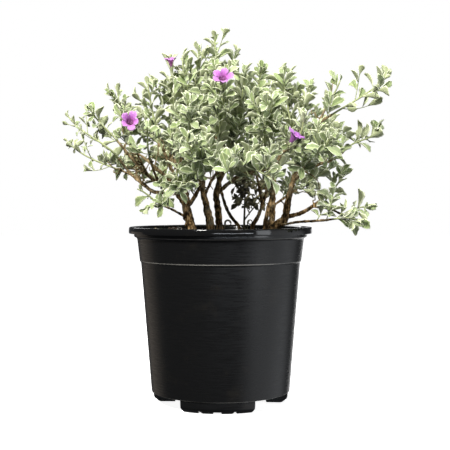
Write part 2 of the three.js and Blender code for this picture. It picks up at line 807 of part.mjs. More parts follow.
const sprays = limbs.map(([name, limb], order) => (
  { name, limb, order, twigs: planTwigs(name, limb, order, taken) }
));
for (const spray of sprays) {
  const pieces = spray.twigs.map((part) => bar(part.places, part.girth, part.sides, part.setOut));
  if (spray.limb.bloom) pieces.push(makeCalyx(spray.twigs[0].places, spray.limb.bloom));
  spray.solid = wasm.Manifold.union(pieces);
  spray.leaves = [];
}

for (const spray of sprays) {
  const dice = new Dice(growth.seed * (spray.order + 1) + 1);
  const rest = sprays.filter((other) => other !== spray).flatMap((other) => [other.solid, ...other.leaves]);
  const others = [body, soilBody, witheredSolid, ...woody, ...blooms, ...rest];
  for (const part of spray.twigs) {
    planLeaves(part, dice).forEach((plan, i) => {
      if (i % part.leafStride) return;
      for (const turn of leaf.turns) {
        const blade = leafBlade(plan, turn);
        if (others.some((other) => near(blade, other, growth.gap))) continue;
        spray.leaves.push(blade);
        break;
      }
    });
  }
  bush.add(named(`spray_${spray.name}`, wasm.Manifold.union([spray.solid, ...spray.leaves]), finish.leaf));
}

export default bush;
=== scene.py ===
# Potted texas sage: the shrub, its soil and its nursery pot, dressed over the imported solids.
import math

import bmesh
import bpy
import numpy as np
from mathutils import Matrix, Vector, noise


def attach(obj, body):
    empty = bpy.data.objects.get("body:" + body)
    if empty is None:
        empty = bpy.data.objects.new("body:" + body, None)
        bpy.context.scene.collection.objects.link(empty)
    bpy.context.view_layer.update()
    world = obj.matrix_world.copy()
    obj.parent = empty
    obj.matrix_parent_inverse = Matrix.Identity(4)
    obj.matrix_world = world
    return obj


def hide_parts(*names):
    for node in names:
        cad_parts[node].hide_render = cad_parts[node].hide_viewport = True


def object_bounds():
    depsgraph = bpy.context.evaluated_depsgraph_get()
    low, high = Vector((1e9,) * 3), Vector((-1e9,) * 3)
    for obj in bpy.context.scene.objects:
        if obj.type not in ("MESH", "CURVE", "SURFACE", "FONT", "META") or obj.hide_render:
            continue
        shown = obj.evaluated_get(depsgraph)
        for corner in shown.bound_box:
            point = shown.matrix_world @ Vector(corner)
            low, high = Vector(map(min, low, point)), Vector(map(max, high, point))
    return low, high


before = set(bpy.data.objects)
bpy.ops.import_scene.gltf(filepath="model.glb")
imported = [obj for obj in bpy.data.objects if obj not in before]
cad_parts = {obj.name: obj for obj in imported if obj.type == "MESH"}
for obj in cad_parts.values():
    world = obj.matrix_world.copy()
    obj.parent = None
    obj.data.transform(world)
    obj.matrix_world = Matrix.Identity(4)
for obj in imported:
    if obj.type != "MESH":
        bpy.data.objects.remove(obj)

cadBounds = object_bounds()
mm = 0.001  # the tables are in millimetres, the scene is in metres
print("solids loaded:", len(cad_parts))


def branchlet(girth, tip, route, **more):  # a limb: its woody part, and where its leafy spray ends
    return {"girth": girth, "tip": tip, "route": route, **more}


# The plan of the shrub, as the solids have it, in millimetres.
stems = {
    "stem_left": {
        "girth": (7.5, 4.2),
        "route": [(-38, -14, 182), (-38, -15, 224), (-42, -15, 245), (-47, -13, 262), (-57, -11, 278)],
        "limbs": {
            "left_high": branchlet((2.9, 1.7), (-212, 40, 388), [
                (-56, -11, 276), (-84, -6, 275), (-98, 1, 283), (-119, 10, 300), (-135, 18, 320)]),
            "left_fork": branchlet((2.7, 1.6), (-168, -45, 388), [
                (-56, -12, 277), (-78, -17, 286), (-94, -24, 297), (-114, -32, 319), (-131, -38, 340)]),
            "left_back": branchlet((2.5, 1.6), (-143, 60, 424), [
                (-55, -10, 276), (-68, 2, 292), (-80, 12, 303), (-97, 25, 317), (-114, 35, 330)]),
            "left_low": branchlet((1.6, 1.4), (-212, 28, 352), [(-118, 10, 299), (-134, 12, 305)]),
            "left_hanging": branchlet((1.8, 1.4), (-114, -56, 282), [
                (-40, -15, 240), (-57, -25, 250), (-75, -35, 259)], rise=-0.2),
            "left_bloom": branchlet((1.7, 1.4), (-126, -84, 384), [
                (-93, -24, 296), (-100, -40, 312), (-106, -52, 326)],
                bloom={"name": "bloom_left", "from": 0.55,
                       "base": (-110, -76, 358), "aim": (0.12, -0.93, 0.33), "size": 1}),
            "left_leader": branchlet((3, 1.8), (-95, -22, 424), [
                (-56, -11, 276), (-64, -14, 305), (-74, -19, 330)]),
            "left_top": branchlet((2.2, 1.6), (-62, 0, 461), [(-64, -14, 304), (-66, -8, 328)],
                bloom={"name": "bloom_left_top", "from": 0.62,
                       "base": (-65, -14, 437), "aim": (-0.1, 0, 1), "size": 0.66}),
            "left_front": branchlet((1.9, 1.5), (-88, -114, 362), [
                (-78, -17, 285), (-84, -40, 300), (-88, -60, 316)]),
            "left_front_low": branchlet((2, 1.5), (-46, -140, 274), [
                (-50, -13, 267), (-54, -38, 277), (-56, -64, 284)], rise=-0.1),
            "front_left": branchlet((3, 1.7), (-40, -154, 346), [
                (-44, -14, 254), (-33, -22, 270), (-26, -38, 284), (-26, -58, 296)]),
        },
    },
    "stem_centre_left": {
        "girth": (5.5, 3.4),
        "route": [(-11, -30, 182), (-12, -30, 224), (-18, -29, 256), (-22, -28, 274), (-25, -28, 300)],
        "limbs": {
            "centre_left_top": branchlet((2.4, 1.6), (-50, -10, 463), [
                (-25, -28, 298), (-34, -22, 322), (-40, -16, 342)]),
            "centre_left_front": branchlet((2.2, 1.5), (-40, -112, 394), [
                (-25, -28, 297), (-30, -44, 318), (-34, -58, 335)]),
            "centre_front_high": branchlet((2.4, 1.6), (8, -70, 434), [
                (-24, -28, 294), (-12, -36, 325), (-5, -42, 345)],
                bloom={"name": "bloom_middle", "from": 0.6,
                       "base": (2, -68, 414), "aim": (0.02, -0.8, 0.6), "size": 1.08}),
            "front_centre": branchlet((2, 1.5), (12, -178, 308), [
                (-21, -29, 270), (-12, -48, 288), (-4, -68, 300)]),
        },
    },
    "stem_centre": {
        "girth": (5, 3),
        "route": [(-1, 11, 182), (-1, 10, 224), (-4, 10, 257), (-6, 8, 272), (-2, 5, 290), (3, 2, 325)],
        "limbs": {
            "top": branchlet((2.7, 1.8), (-9, 0, 491), [(3, 2, 322), (4, 0, 350)]),
            "top_left_rear": branchlet((2.2, 1.6), (-31, 30, 477), [(2, 3, 318), (-10, 16, 342)]),
            "centre_right_top": branchlet((2.2, 1.6), (33, -22, 444), [(2, 3, 316), (14, -4, 343)]),
            "right_rear": branchlet((3, 1.8), (116, 112, 366), [
                (-5, 9, 274), (13, 18, 289), (28, 25, 299), (49, 32, 304), (65, 40, 306)]),
            "top_right_rear": branchlet((2.2, 1.5), (57, 30, 452), [
                (-2, 5, 288), (12, 22, 315), (26, 30, 340)]),
        },
    },
    "stem_thin_rear": {
        "girth": (2.5, 1.9),
        "route": [(27, 40, 182), (26, 40, 224), (13, 42, 244), (5, 46, 262), (-2, 54, 290)],
        "limbs": {
            "rear_centre": branchlet((1.9, 1.5), (-18, 142, 418), [
                (-2, 53, 287), (-8, 66, 315), (-10, 76, 335)]),
        },
    },
    "stem_thin_front": {
        "girth": (2.7, 2),
        "route": [(38, -33, 182), (39, -34, 224), (48, -36, 245), (54, -38, 262), (60, -38, 282)],
        "limbs": {
            "front_right_low": branchlet((1.9, 1.5), (58, -168, 304), [
                (53, -38, 259), (48, -58, 282), (44, -78, 296)]),
            "front_right": branchlet((1.9, 1.5), (64, -104, 396), [
                (60, -38, 280), (60, -40, 310), (56, -50, 335)]),
        },
    },
    "stem_red": {
        "girth": (3, 2.2),
        "route": [
            (53, -56, 182), (55, -56, 224), (59, -58, 251), (64, -60, 270), (68, -63, 297),
            (70, -66, 313),
        ],
        "limbs": {
            "right_bloom": branchlet((2.1, 1.6), (104, -100, 376), [
                (70, -66, 311), (76, -72, 323), (88, -80, 331)],
                bloom={"name": "bloom_right", "from": 0.12,
                       "base": (86, -101, 337), "aim": (0.4, -0.22, 0.88), "size": 0.9}),
        },
    },
    "stem_right": {
        "girth": (6.4, 2),
        "route": [
            (60, -16, 182), (65, -18, 224), (82, -20, 240), (86, -20, 256), (88, -20, 268),
            (94, -18, 291), (99, -15, 308), (102, -6, 330),
        ],
        "limbs": {
            "right_top": branchlet((2, 1.5), (80, -10, 443), [(100, -9, 320), (95, -8, 345)]),
            "right_shoulder": branchlet((2, 1.5), (116, 2, 426), [(102, -6, 328), (107, -2, 348)]),
            "upper_right": branchlet((2.3, 1.6), (216, -54, 432), [
                (100, -13, 314), (108, -32, 345), (124, -42, 362), (141, -46, 373)]),
            "upper_right_shoot": branchlet((1.7, 1.4), (156, -28, 428), [(124, -41, 361), (132, -30, 378)]),
            "right_middle": branchlet((2.5, 1.6), (212, -10, 362), [
                (94, -18, 290), (112, -14, 305), (127, -10, 311), (147, -9, 318), (166, -9, 334)]),
            "right_low_fork": branchlet((3.2, 1.7), (160, -44, 308), [
                (83, -20, 243), (105, -26, 249), (122, -32, 260), (134, -35, 270)]),
            "right_low": branchlet((1.7, 1.4), (196, -40, 254), [
                (117, -31, 257), (138, -36, 254), (152, -38, 248)], rise=-0.35),
            "right_lowest": branchlet((1.8, 1.4), (176, -80, 236), [
                (74, -20, 232), (98, -38, 237), (124, -52, 239), (140, -58, 241)], rise=-0.3),
            "right_front": branchlet((2, 1.5), (132, -124, 346), [
                (93, -18, 288), (104, -40, 302), (112, -58, 314)]),
            "right_fill": branchlet((2, 1.5), (158, 84, 386), [
                (99, -15, 306), (114, 12, 322), (124, 30, 336)]),
        },
    },
    "stem_rear_left": {
        "girth": (5, 3),
        "route": [(-40, 54, 182), (-41, 56, 224), (-45, 66, 252), (-50, 80, 285), (-54, 90, 310)],
        "limbs": {
            "rear_left": branchlet((2.4, 1.6), (-134, 128, 400), [
                (-53, 87, 303), (-74, 98, 330), (-88, 104, 345)]),
            "rear_left_low": branchlet((2, 1.5), (-80, 174, 362), [
                (-49, 79, 283), (-54, 104, 300), (-58, 120, 312)]),
            "rear_left_top": branchlet((2.2, 1.6), (-56, 104, 448), [(-54, 89, 307), (-56, 92, 340)],
                bloom={"name": "bloom_rear_left", "from": 0.6,
                       "base": (-58, 112, 418), "aim": (-0.3, 0.8, 0.5), "size": 1}),
            "left_rear_low": branchlet((2, 1.5), (-166, 118, 334), [
                (-47, 71, 265), (-70, 82, 280), (-92, 92, 296)]),
        },
    },
    "stem_rear_right": {
        "girth": (5, 3),
        "route": [(68, 60, 182), (69, 62, 224), (72, 72, 255), (73, 84, 285), (70, 92, 308)],
        "limbs": {
            "rear_right_top": branchlet((2.2, 1.6), (56, 100, 442), [(70, 91, 305), (66, 94, 333)]),
            "rear_right_low": branchlet((2, 1.5), (84, 170, 354), [
                (73, 83, 282), (74, 108, 300), (76, 124, 312)],
                bloom={"name": "bloom_rear_right", "from": 0.6,
                       "base": (72, 157, 345), "aim": (-0.2, 0.8, 0.5), "size": 1}),
            "rear_middle_low": branchlet((2, 1.5), (4, 174, 336), [
                (73, 80, 275), (50, 100, 288), (32, 116, 298)]),
            "right_rear_low": branchlet((2, 1.5), (162, 112, 324), [
                (72, 73, 257), (92, 84, 270), (106, 90, 280)]),
        },
    },
}
growth = {"room": 3.4, "beyondRim": 4, "aboveRim": 6, "sample": 5, "seed": 7919, "gap": 0.3}
mainTwig = {
    "base": 1.4, "end": 0.95, "steps": 3, "overhang": 11, "reach": 0.34, "rise": 0.45, "firstLeaf": 0.2,
}
sideTwig = {
    "pitch": 24, "least": 2, "most": 5, "radius": 0.65, "first": 0.16, "last": 0.8, "spread": 47,
    "length": 0.52, "shorten": 0.42, "vary": (0.85, 1.15), "rise": 0.3, "firstLeaf": 0.3,
    "bends": (0, 0.45, -0.45, 0.9, -0.9, 1.35, -1.35),
}
leafSize = {"length": 21, "width": 0.5, "lengths": (0.82, 1.2), "widths": (0.88, 1.12), "roll": 0.35}
crowd = {
    "pitch": 5.35, "extra": 3, "lastRoot": 0.97, "thinning": 1.15, "young": 0.6, "growing": 0.13,
    "old": 0.85, "oldest": 3, "upright": 16, "open": 44, "opening": 4, "vary": (-8, 10),
}
pot = {
    "height": 230, "wall": 1.8, "turnSteps": 180,
    "lipRadius": 120, "lipHeight": 8.2, "lipWall": 1.6, "lipBarrel": 0.5,
    "neckRadius": 113, "neckHeight": 4.2, "bandRadius": 109, "bandDrop": 14.5,
    "stepHeight": 186, "stepAbove": 105.5, "stepBelow": 104, "stepSlope": 2,
    "heelRadius": 90.4, "heelHeight": 16, "setBack": 2, "floorWall": 2.2,
    "sharp": 34,
    "feet": 3, "footInner": 59, "footFlat": 80, "footChamfer": 6, "footDraft": 0.6, "footHalf": 32,
    "footTurn": -2.8, "notchHalf": 15.5, "notchWidth": 7, "notchHeight": 5,
    "midWidth": 11, "midHeight": 3, "midSlope": 0.6, "cutRoom": 4,
    "drainRadius": 4.5, "drainCircle": 74, "drainHalf": 13, "drainMiddle": 6, "drainDepth": 12,
}
bloomShape = {"radius": 12.5, "depth": 13.5, "waist": 0.62}
goldenAngle = math.radians(137.5)
up = np.array([0.0, 0.0, 1.0])


class Dice:  # the seeded draws that the solids were grown with
    def __init__(self, seed):
        self.state = seed % 4294967296

    def next(self):
        self.state = (self.state * 1664525 + 1013904223) % 4294967296
        return self.state / 4294967296

    def between(self, low, high):
        return low + (high - low) * self.next()


def array(place):
    return np.array(place, float)


def unit(v):
    return v / np.linalg.norm(v)


def sideways(axis, angle):  # a direction square to another one, turned about it
    reference = array((0, 1, 0)) if abs(axis[1]) < 0.8 else array((1, 0, 0))
    first = unit(np.cross(reference, axis))
    return first * math.cos(angle) + np.cross(axis, first) * math.sin(angle)


def leaning(axis, spread, turn):  # a direction that leans off another one
    return axis * math.cos(spread) + sideways(axis, turn) * math.sin(spread)


def arched(root, way, length, rise):  # a path that leaves its root straight and bends up
    return lambda t: root + way * (length * t) + up * (length * rise * t * t)


def tapered(girth, share):
    return girth[0] + (girth[1] - girth[0]) * share


def onSteps(places, at):  # part of the way along straight steps
    step = min(int(math.floor(at * (len(places) - 1))), len(places) - 2)
    return places[step] + (places[step + 1] - places[step]) * (at * (len(places) - 1) - step)


def bezier(handles, t):
    a, b, c, d = handles
    s = 1 - t
    return a * s ** 3 + b * (3 * s * s * t) + c * (3 * s * t * t) + d * t ** 3


def sampled(places, girth):
    length = sum(np.linalg.norm(b - a) for a, b in zip(places, places[1:]))
    count = max(2, math.ceil(length / growth["sample"]))
    return [(onSteps(places, i / count), tapered(girth, i / count)) for i in range(count + 1)]


def isClear(places, girth, takenPlaces, takenRadii):
    for place, radius in sampled(places, girth):
        overRim = math.hypot(place[0], place[1]) > pot["lipRadius"] + growth["beyondRim"]
        if not overRim and place[2] <= pot["height"] + growth["aboveRim"]:
            return False
        apart = np.linalg.norm(takenPlaces - place, axis=1)
        if not np.all(apart > takenRadii + radius + growth["room"]):
            return False
    return True


def planTwigs(name, limb, order, taken):
    # a limb's main twig and side twigs, each bent clear of what is taken
    dice = Dice(growth["seed"] * (order + 1))
    before, cap = (array(p) for p in limb["route"][-2:])
    heading = unit(cap - before)
    start = cap + heading * growth["gap"]
    tip = array(limb["tip"])
    lastWay = unit(unit(tip - start) + up * limb.get("rise", mainTwig["rise"]))
    end = tip - lastWay * mainTwig["overhang"]
    length = np.linalg.norm(end - start)
    reach = length * mainTwig["reach"]
    handles = (start, start + heading * reach, end - lastWay * reach, end)
    places = [bezier(handles, i / mainTwig["steps"]) for i in range(mainTwig["steps"] + 1)]
    twigs = [{
        "path": lambda t: bezier(handles, t), "firstLeaf": mainTwig["firstLeaf"], "length": length,
        "girth": (mainTwig["base"], mainTwig["end"]), "form": "main",
    }]
    s = sideTwig
    rise = limb.get("rise", s["rise"])
    girth = (s["radius"], s["radius"])
    phase = dice.between(0, math.tau)
    others = [(p, r) for p, r, owner in taken if owner != name]
    takenPlaces = np.array([p for p, r in others])
    takenRadii = np.array([r for p, r in others])
    count = max(s["least"], min(s["most"], math.floor(length / s["pitch"] + 0.5)))
    for i in range(count):
        at = s["first"] + (s["last"] - s["first"]) * (i / (count - 1))
        sideLength = length * (s["length"] - s["shorten"] * at) * dice.between(*s["vary"])
        root = onSteps(places, at)
        along = unit(bezier(handles, at + 1e-4) - bezier(handles, at - 1e-4))
        for bend in s["bends"]:
            way = leaning(along, math.radians(s["spread"]), phase + i * goldenAngle + bend)
            sideEnd = root + way * sideLength + up * (sideLength * rise)
            if not isClear([root, sideEnd], girth, takenPlaces, takenRadii):
                continue
            twigs.append({
                "path": arched(bezier(handles, at), way, sideLength, rise),
                "firstLeaf": s["firstLeaf"], "length": sideLength, "girth": girth, "form": "side",
            })
            taken.extend((p, r, name) for p, r in sampled([root, sideEnd], girth))
            break
    return twigs


def planLeaves(twig, dice):
    c, path = crowd, twig["path"]
    leafy = twig["length"] * (1 - twig["firstLeaf"])
    count = math.floor(leafy / c["pitch"] + 0.5) + c["extra"]
    phase = dice.between(0, math.tau)
    run = c["lastRoot"] - twig["firstLeaf"]
    plans = []
    for i in range(count):
        at = c["lastRoot"] - run * (i / (count - 1)) ** c["thinning"]
        grown = min(1, c["young"] + c["growing"] * i) * (c["old"] if i > count - c["oldest"] else 1)
        opened = c["upright"] + c["open"] * min(1, i / c["opening"])
        plans.append({
            "at": at, "root": path(at), "stalk": unit(path(min(at + 0.02, 1)) - path(at - 0.02)),
            "turn": phase + i * goldenAngle, "spread": math.radians(opened + dice.between(*c["vary"])),
            "length": leafSize["length"] * grown * dice.between(*leafSize["lengths"]),
            "width": leafSize["width"] * dice.between(*leafSize["widths"]),
            "roll": dice.between(-leafSize["roll"], leafSize["roll"]),
        })
    return plans


limbs = [(name, limb) for stem in stems.values() for name, limb in stem["limbs"].items()]
blooms = {order: limb["bloom"] for order, (name, limb) in enumerate(limbs) if "bloom" in limb}
taken = []  # places that twigs keep clear of, each with a radius and the limb it belongs to
for stem in stems.values():
    for part in [stem, *stem["limbs"].values()]:
        route = [array(p) for p in part["route"]]
        taken.extend((p, r, "") for p, r in sampled(route, part["girth"]))
for bloom in blooms.values():
    way = unit(array(bloom["aim"])) * bloomShape["depth"] * bloomShape["waist"] * bloom["size"]
    taken.append((array(bloom["base"]) + way, bloomShape["radius"] * bloom["size"], ""))
sprays = {name: planTwigs(name, limb, order, taken) for order, (name, limb) in enumerate(limbs)}
print("twigs planned:", sum(len(twigs) for twigs in sprays.values()))


# Small helpers.
def placed(name, data):
    thing = bpy.data.objects.new(name, data)
    bpy.context.scene.collection.objects.link(thing)
    return thing


def newPiece(name, mesh, finishNames, slotName, *nodes):
    piece = placed(name, mesh)
    mesh.materials.clear()
    for finish in finishNames:
        mesh.materials.append(finishes[finish])
    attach(piece, "root")
    if nodes:
        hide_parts(*nodes)
    return piece


def smoothShade(mesh, angle=None):
    mesh.shade_smooth()
    if angle is not None:
        mesh.set_sharp_from_angle(angle=math.radians(angle))


def opened(mesh):
    bm = bmesh.new()
    bm.from_mesh(mesh)
    return bm


def closed(bm, mesh):  # what was built goes into a mesh, which may be a new one's name
    if isinstance(mesh, str):
        mesh = bpy.data.meshes.new(mesh)
    bm.to_mesh(mesh)
    bm.free()
    return mesh


def sealed(bm, mesh):
    bmesh.ops.remove_doubles(bm, verts=bm.verts[:], dist=1e-6)
    bmesh.ops.recalc_face_normals(bm, faces=bm.faces[:])
    return closed(bm, mesh)


def onlyVerts(made):
    return [v for v in made if isinstance(v, bmesh.types.BMVert)]


def thickened(bm, thickness):
    bmesh.ops.solidify(bm, geom=bm.faces[:], thickness=thickness)
    bmesh.ops.recalc_face_normals(bm, faces=bm.faces[:])


def finishFaces(bm, first, finish):  # smooth faces from a number on, in one of the piece's materials
    bm.faces.ensure_lookup_table()
    for face in bm.faces[first:]:
        face.material_index = finish
        face.smooth = True


def addCopy(bm, mesh, matrix):  # a copy of a mesh, placed, as its new faces
    firstVert, firstFace = len(bm.verts), len(bm.faces)
    bm.from_mesh(mesh)
    bm.verts.ensure_lookup_table()
    bm.faces.ensure_lookup_table()
    bmesh.ops.transform(bm, matrix=matrix, verts=bm.verts[firstVert:])
    return bm.faces[firstFace:]


def bakedMesh(holder, name):
    # the mesh that an object's modifiers or curve settings make, on its own
    bpy.context.view_layer.update()
    shown = holder.evaluated_get(bpy.context.evaluated_depsgraph_get())
    mesh = bpy.data.meshes.new_from_object(shown)
    mesh.name = name
    return mesh


def tubeRun(places, radii):
    return [Vector(p) * mm for p in places], [r * mm for r in radii]


def tubes(name, runs, roundness):
    # round tubes along runs of (places, radii), in metres, closed at both ends
    curve = bpy.data.curves.new(name, "CURVE")
    curve.dimensions = "3D"
    curve.bevel_depth = 1
    curve.bevel_resolution = roundness
    curve.use_fill_caps = True
    for places, radii in runs:
        line = curve.splines.new("POLY")
        line.points.add(len(places) - 1)
        for spot, place, radius in zip(line.points, places, radii):
            spot.co = (*place, 1)
            spot.radius = radius
    holder = placed(name, curve)
    mesh = bakedMesh(holder, name)
    bpy.data.objects.remove(holder)
    bpy.data.curves.remove(curve)
    return sealed(opened(mesh), mesh)


def throughRoute(route, steps):
    # a smooth run of places through a route's points, with the share of the way at each
    points = [array(p) for p in route]
    ends = [points[0] * 2 - points[1], *points, points[-1] * 2 - points[-2]]
    run = []
    for i in range(len(points) - 1):
        a, b, c, d = ends[i:i + 4]
        count = max(2, int(np.linalg.norm(c - b) / steps))
        for k in range(count):
            t = k / count
            place = 0.5 * (2 * b + (c - a) * t + (2 * a - 5 * b + 4 * c - d) * t ** 2
                           + (3 * b - a - 3 * c + d) * t ** 3)
            run.append((place, (i + t) / (len(points) - 1)))
    run.append((points[-1], 1.0))
    return run


def onRun(run, share):  # a place on a run, and the way ahead from it
    index = min(len(run) - 2, int(share * (len(run) - 1)))
    root = run[index][0]
    return root, unit(run[index + 1][0] - root)


def joined(name, parts, cutters=()):
    # one closed mesh from overlapping closed ones, less the cutters
    holder = placed(name, parts[0])
    spare = [holder]
    for operation, meshes in (("UNION", parts[1:]), ("DIFFERENCE", cutters)):
        if not meshes:
            continue
        group = bpy.data.collections.new(name + operation)
        bpy.context.scene.collection.children.link(group)
        for mesh in meshes:
            tool = bpy.data.objects.new(name + "Tool", mesh)
            group.objects.link(tool)
            spare.append(tool)
        change = holder.modifiers.new(operation, "BOOLEAN")
        change.operation = operation
        change.solver = "MANIFOLD"
        change.operand_type = "COLLECTION"
        change.collection = group
    mesh = bakedMesh(holder, name)
    for thing in spare:
        bpy.data.objects.remove(thing)
    for group in [g for g in bpy.data.collections if g.name.startswith(name)]:
        bpy.data.collections.remove(group)
    return mesh


# The finishes.
class Finish:  # a material or the world, with short ways to build its nodes
    def __init__(self, name, make=bpy.data.materials.new, kind="BSDF_PRINCIPLED"):
        self.owner = make(name)
        self.owner.use_nodes = True
        self.tree = self.owner.node_tree
        self.shader = next(n for n in self.tree.nodes if n.type == kind)

    def feed(self, made, values):  # a node's inputs, from values or from other nodes
        for key, value in values.items():
            if isinstance(value, bpy.types.NodeSocket):
                self.tree.links.new(value, made.inputs[key])
            else:
                made.inputs[key].default_value = value

    def add(self, kind, values=None, **settings):
        made = self.tree.nodes.new("ShaderNode" + kind)
        for key, value in settings.items():
            setattr(made, key, value)
        self.feed(made, values or {})
        return made

    def place(self, stretch=(1, 1, 1)):
        at = self.add("TexCoord").outputs["Object"]
        return self.add("Mapping", {"Vector": at, "Scale": stretch}).outputs["Vector"]

    def height(self):
        return self.add("SeparateXYZ", {"Vector": self.place()}).outputs["Z"]

    def attribute(self, name):
        return self.add("Attribute", attribute_name=name).outputs["Fac"]

    def noise(self, scale, detail, roughness=0.55, stretch=(1, 1, 1)):
        values = {"Vector": self.place(stretch), "Scale": scale, "Detail": detail, "Roughness": roughness}
        return self.add("TexNoise", values).outputs["Fac"]

    def ramp(self, value, stops):
        made = self.add("ValToRGB", {"Fac": value})
        bar = made.color_ramp
        while len(bar.elements) < len(stops):
            bar.elements.new(0.5)
        for element, (at, colour) in zip(bar.elements, stops):
            element.position = at
            element.color = (*colour, 1)
        return made.outputs["Color"]

    def mix(self, share, *colours):
        first, second = ((*c, 1) if isinstance(c, tuple) else c for c in colours)
        return self.add("Mix", {0: share, 6: first, 7: second}, data_type="RGBA").outputs[2]

    def maths(self, operation, first, second=0.0):
        return self.add("Math", {0: first, 1: second}, operation=operation).outputs[0]

    def fade(self, value, low, high, outLow=0.0, outHigh=1.0):
        values = {"Value": value, "From Min": low, "From Max": high, "To Min": outLow, "To Max": outHigh}
        return self.add("MapRange", values, interpolation_type="SMOOTHSTEP").outputs["Result"]

    def finished(self, colour, roughness, relief, more=None):
        # the material itself, with its relief as (height, strength, distance)
        relief = dict(zip(("Height", "Strength", "Distance"), relief))
        normal = self.add("Bump", relief).outputs["Normal"]
        self.feed(self.shader, {"Base Color": colour, "Roughness": roughness, "Normal": normal})
        self.feed(self.shader, more or {})
        return self.owner


potFinish = {
    "lines": (55, 3, 0.55, (1, 1, 14)), "lineSpan": (0.3, 0.7), "gloss": (0.25, 0.37), "specular": 0.3,
    "black": (0.0054, 0.0055, 0.0059), "dusty": (0.013, 0.0115, 0.0095), "dust": (30, 6, 0.66),
    "dustSpan": (0.52, 0.82), "lipGloss": 0.08, "lipFrom": (0.219, 0.222),
    # the pale edge colour below is partly wear and partly a painted highlight
    "worn": (0.30, 0.29, 0.27), "wearAndHighlightEdges": (0.016, 0.1862, 0.2172), "wearAndHighlightHalf": 0.00055,
    "rubbing": (22, 3, 0.6), "rubSpan": (0.3, 0.62), "wearAndHighlightShares": (0.25, 0.75),
    "grain": (850, 2), "relief": (0.045, 0.0005),
}


def makePotPlastic():
    f = potFinish
    m = Finish("potPlastic")
    drawn = m.noise(*f["lines"])  # faint level lines from the mould
    colour = m.mix(m.fade(m.noise(*f["dust"]), *f["dustSpan"]), f["black"], f["dusty"])
    # pale lines along the heel, step and neck edges: partly wear, partly a painted highlight where the
    # ledges catch light
    height = m.height()
    worn = 0.0
    for edge in f["wearAndHighlightEdges"]:
        off = m.maths("ABSOLUTE", m.maths("SUBTRACT", height, edge))
        worn = m.maths("MAXIMUM", m.fade(off, f["wearAndHighlightHalf"] * 0.5, f["wearAndHighlightHalf"] * 1.5, 1, 0), worn)
    rubbed = m.fade(m.noise(*f["rubbing"]), *f["rubSpan"], *f["wearAndHighlightShares"])
    colour = m.mix(m.maths("MULTIPLY", worn, rubbed), colour, f["worn"])
    atLip = m.fade(height, *f["lipFrom"])
    wall = m.fade(drawn, *f["lineSpan"], *f["gloss"])
    onWall = m.maths("MULTIPLY", wall, m.maths("SUBTRACT", 1.0, atLip))
    roughness = m.maths("ADD", onWall, m.maths("MULTIPLY", atLip, f["lipGloss"]))
    relief = (m.maths("ADD", m.noise(*f["grain"]), drawn), *f["relief"])
    return m.finished(colour, roughness, relief, {"Specular IOR Level": f["specular"]})


barkFinish = {
    "fine": (520, 5, 0.65, (1, 1, 0.22)), "knots": (190, 3, 0.6, (1, 1, 0.6)),
    "old": ((0.41, (0.006, 0.004, 0.002)), (0.5, (0.082, 0.049, 0.019)), (0.61, (0.48, 0.315, 0.15))),
    "young": ((0.38, (0.045, 0.031, 0.015)), (0.5, (0.21, 0.155, 0.078)), (0.64, (0.44, 0.36, 0.21))),
    "youngFrom": (0.25, 0.33),
    "grey": (0.30, 0.27, 0.19), "patches": (75, 4, 0.6), "greySpan": (0.5, 0.7, 0, 0.45),
    "roughness": 0.86, "specular": 0.08, "relief": (0.8, 0.0007),
}


def makeBark():
    # dark old bark low down, paler young bark above it, and grey patches
    f = barkFinish
    m = Finish("bark")
    fissures = m.maths("ADD", m.maths("MULTIPLY", m.noise(*f["fine"]), 0.5),
                       m.maths("MULTIPLY", m.noise(*f["knots"]), 0.5))
    old, young = (m.ramp(fissures, f[age]) for age in ("old", "young"))
    aged = m.mix(m.fade(m.height(), *f["youngFrom"]), old, young)
    colour = m.mix(m.fade(m.noise(*f["patches"]), *f["greySpan"]), aged, f["grey"])
    relief = (fissures, *f["relief"])
    return m.finished(colour, f["roughness"], relief, {"Specular IOR Level": f["specular"]})


leafFinish = {
    "fresh": (0.185, 0.26, 0.072), "shaded": (0.034, 0.054, 0.009), "grey": (0.34, 0.41, 0.22),
    # the pale felt colour, which is also painted on the leaf's rim and tip as a highlight
    "paleFeltAndHighlight": (0.94, 0.96, 0.73), "under": (0.43, 0.47, 0.27), "rib": (0.48, 0.53, 0.23),
    "ribSpan": (0.02, 0.12), "ribShare": 0.6, "underShare": 0.8, "sideSpan": (0.78, 0.92),
    "tipSpan": (0.93, 0.985), "rimHighlightShares": (0.0, 0.6, 0.4, 0.9), "blotches": (210, 3, 0.6),
    "blotchSpan": (0.35, 0.7, 0, 0.35), "down": (1500, 3, 0.6), "downSpan": (0.35, 0.8, 0, 0.2),
    "roughness": 0.72, "specular": 0.3, "sheen": 0.25, "sheenRoughness": 0.5, "relief": (0.25, 0.0002),
}


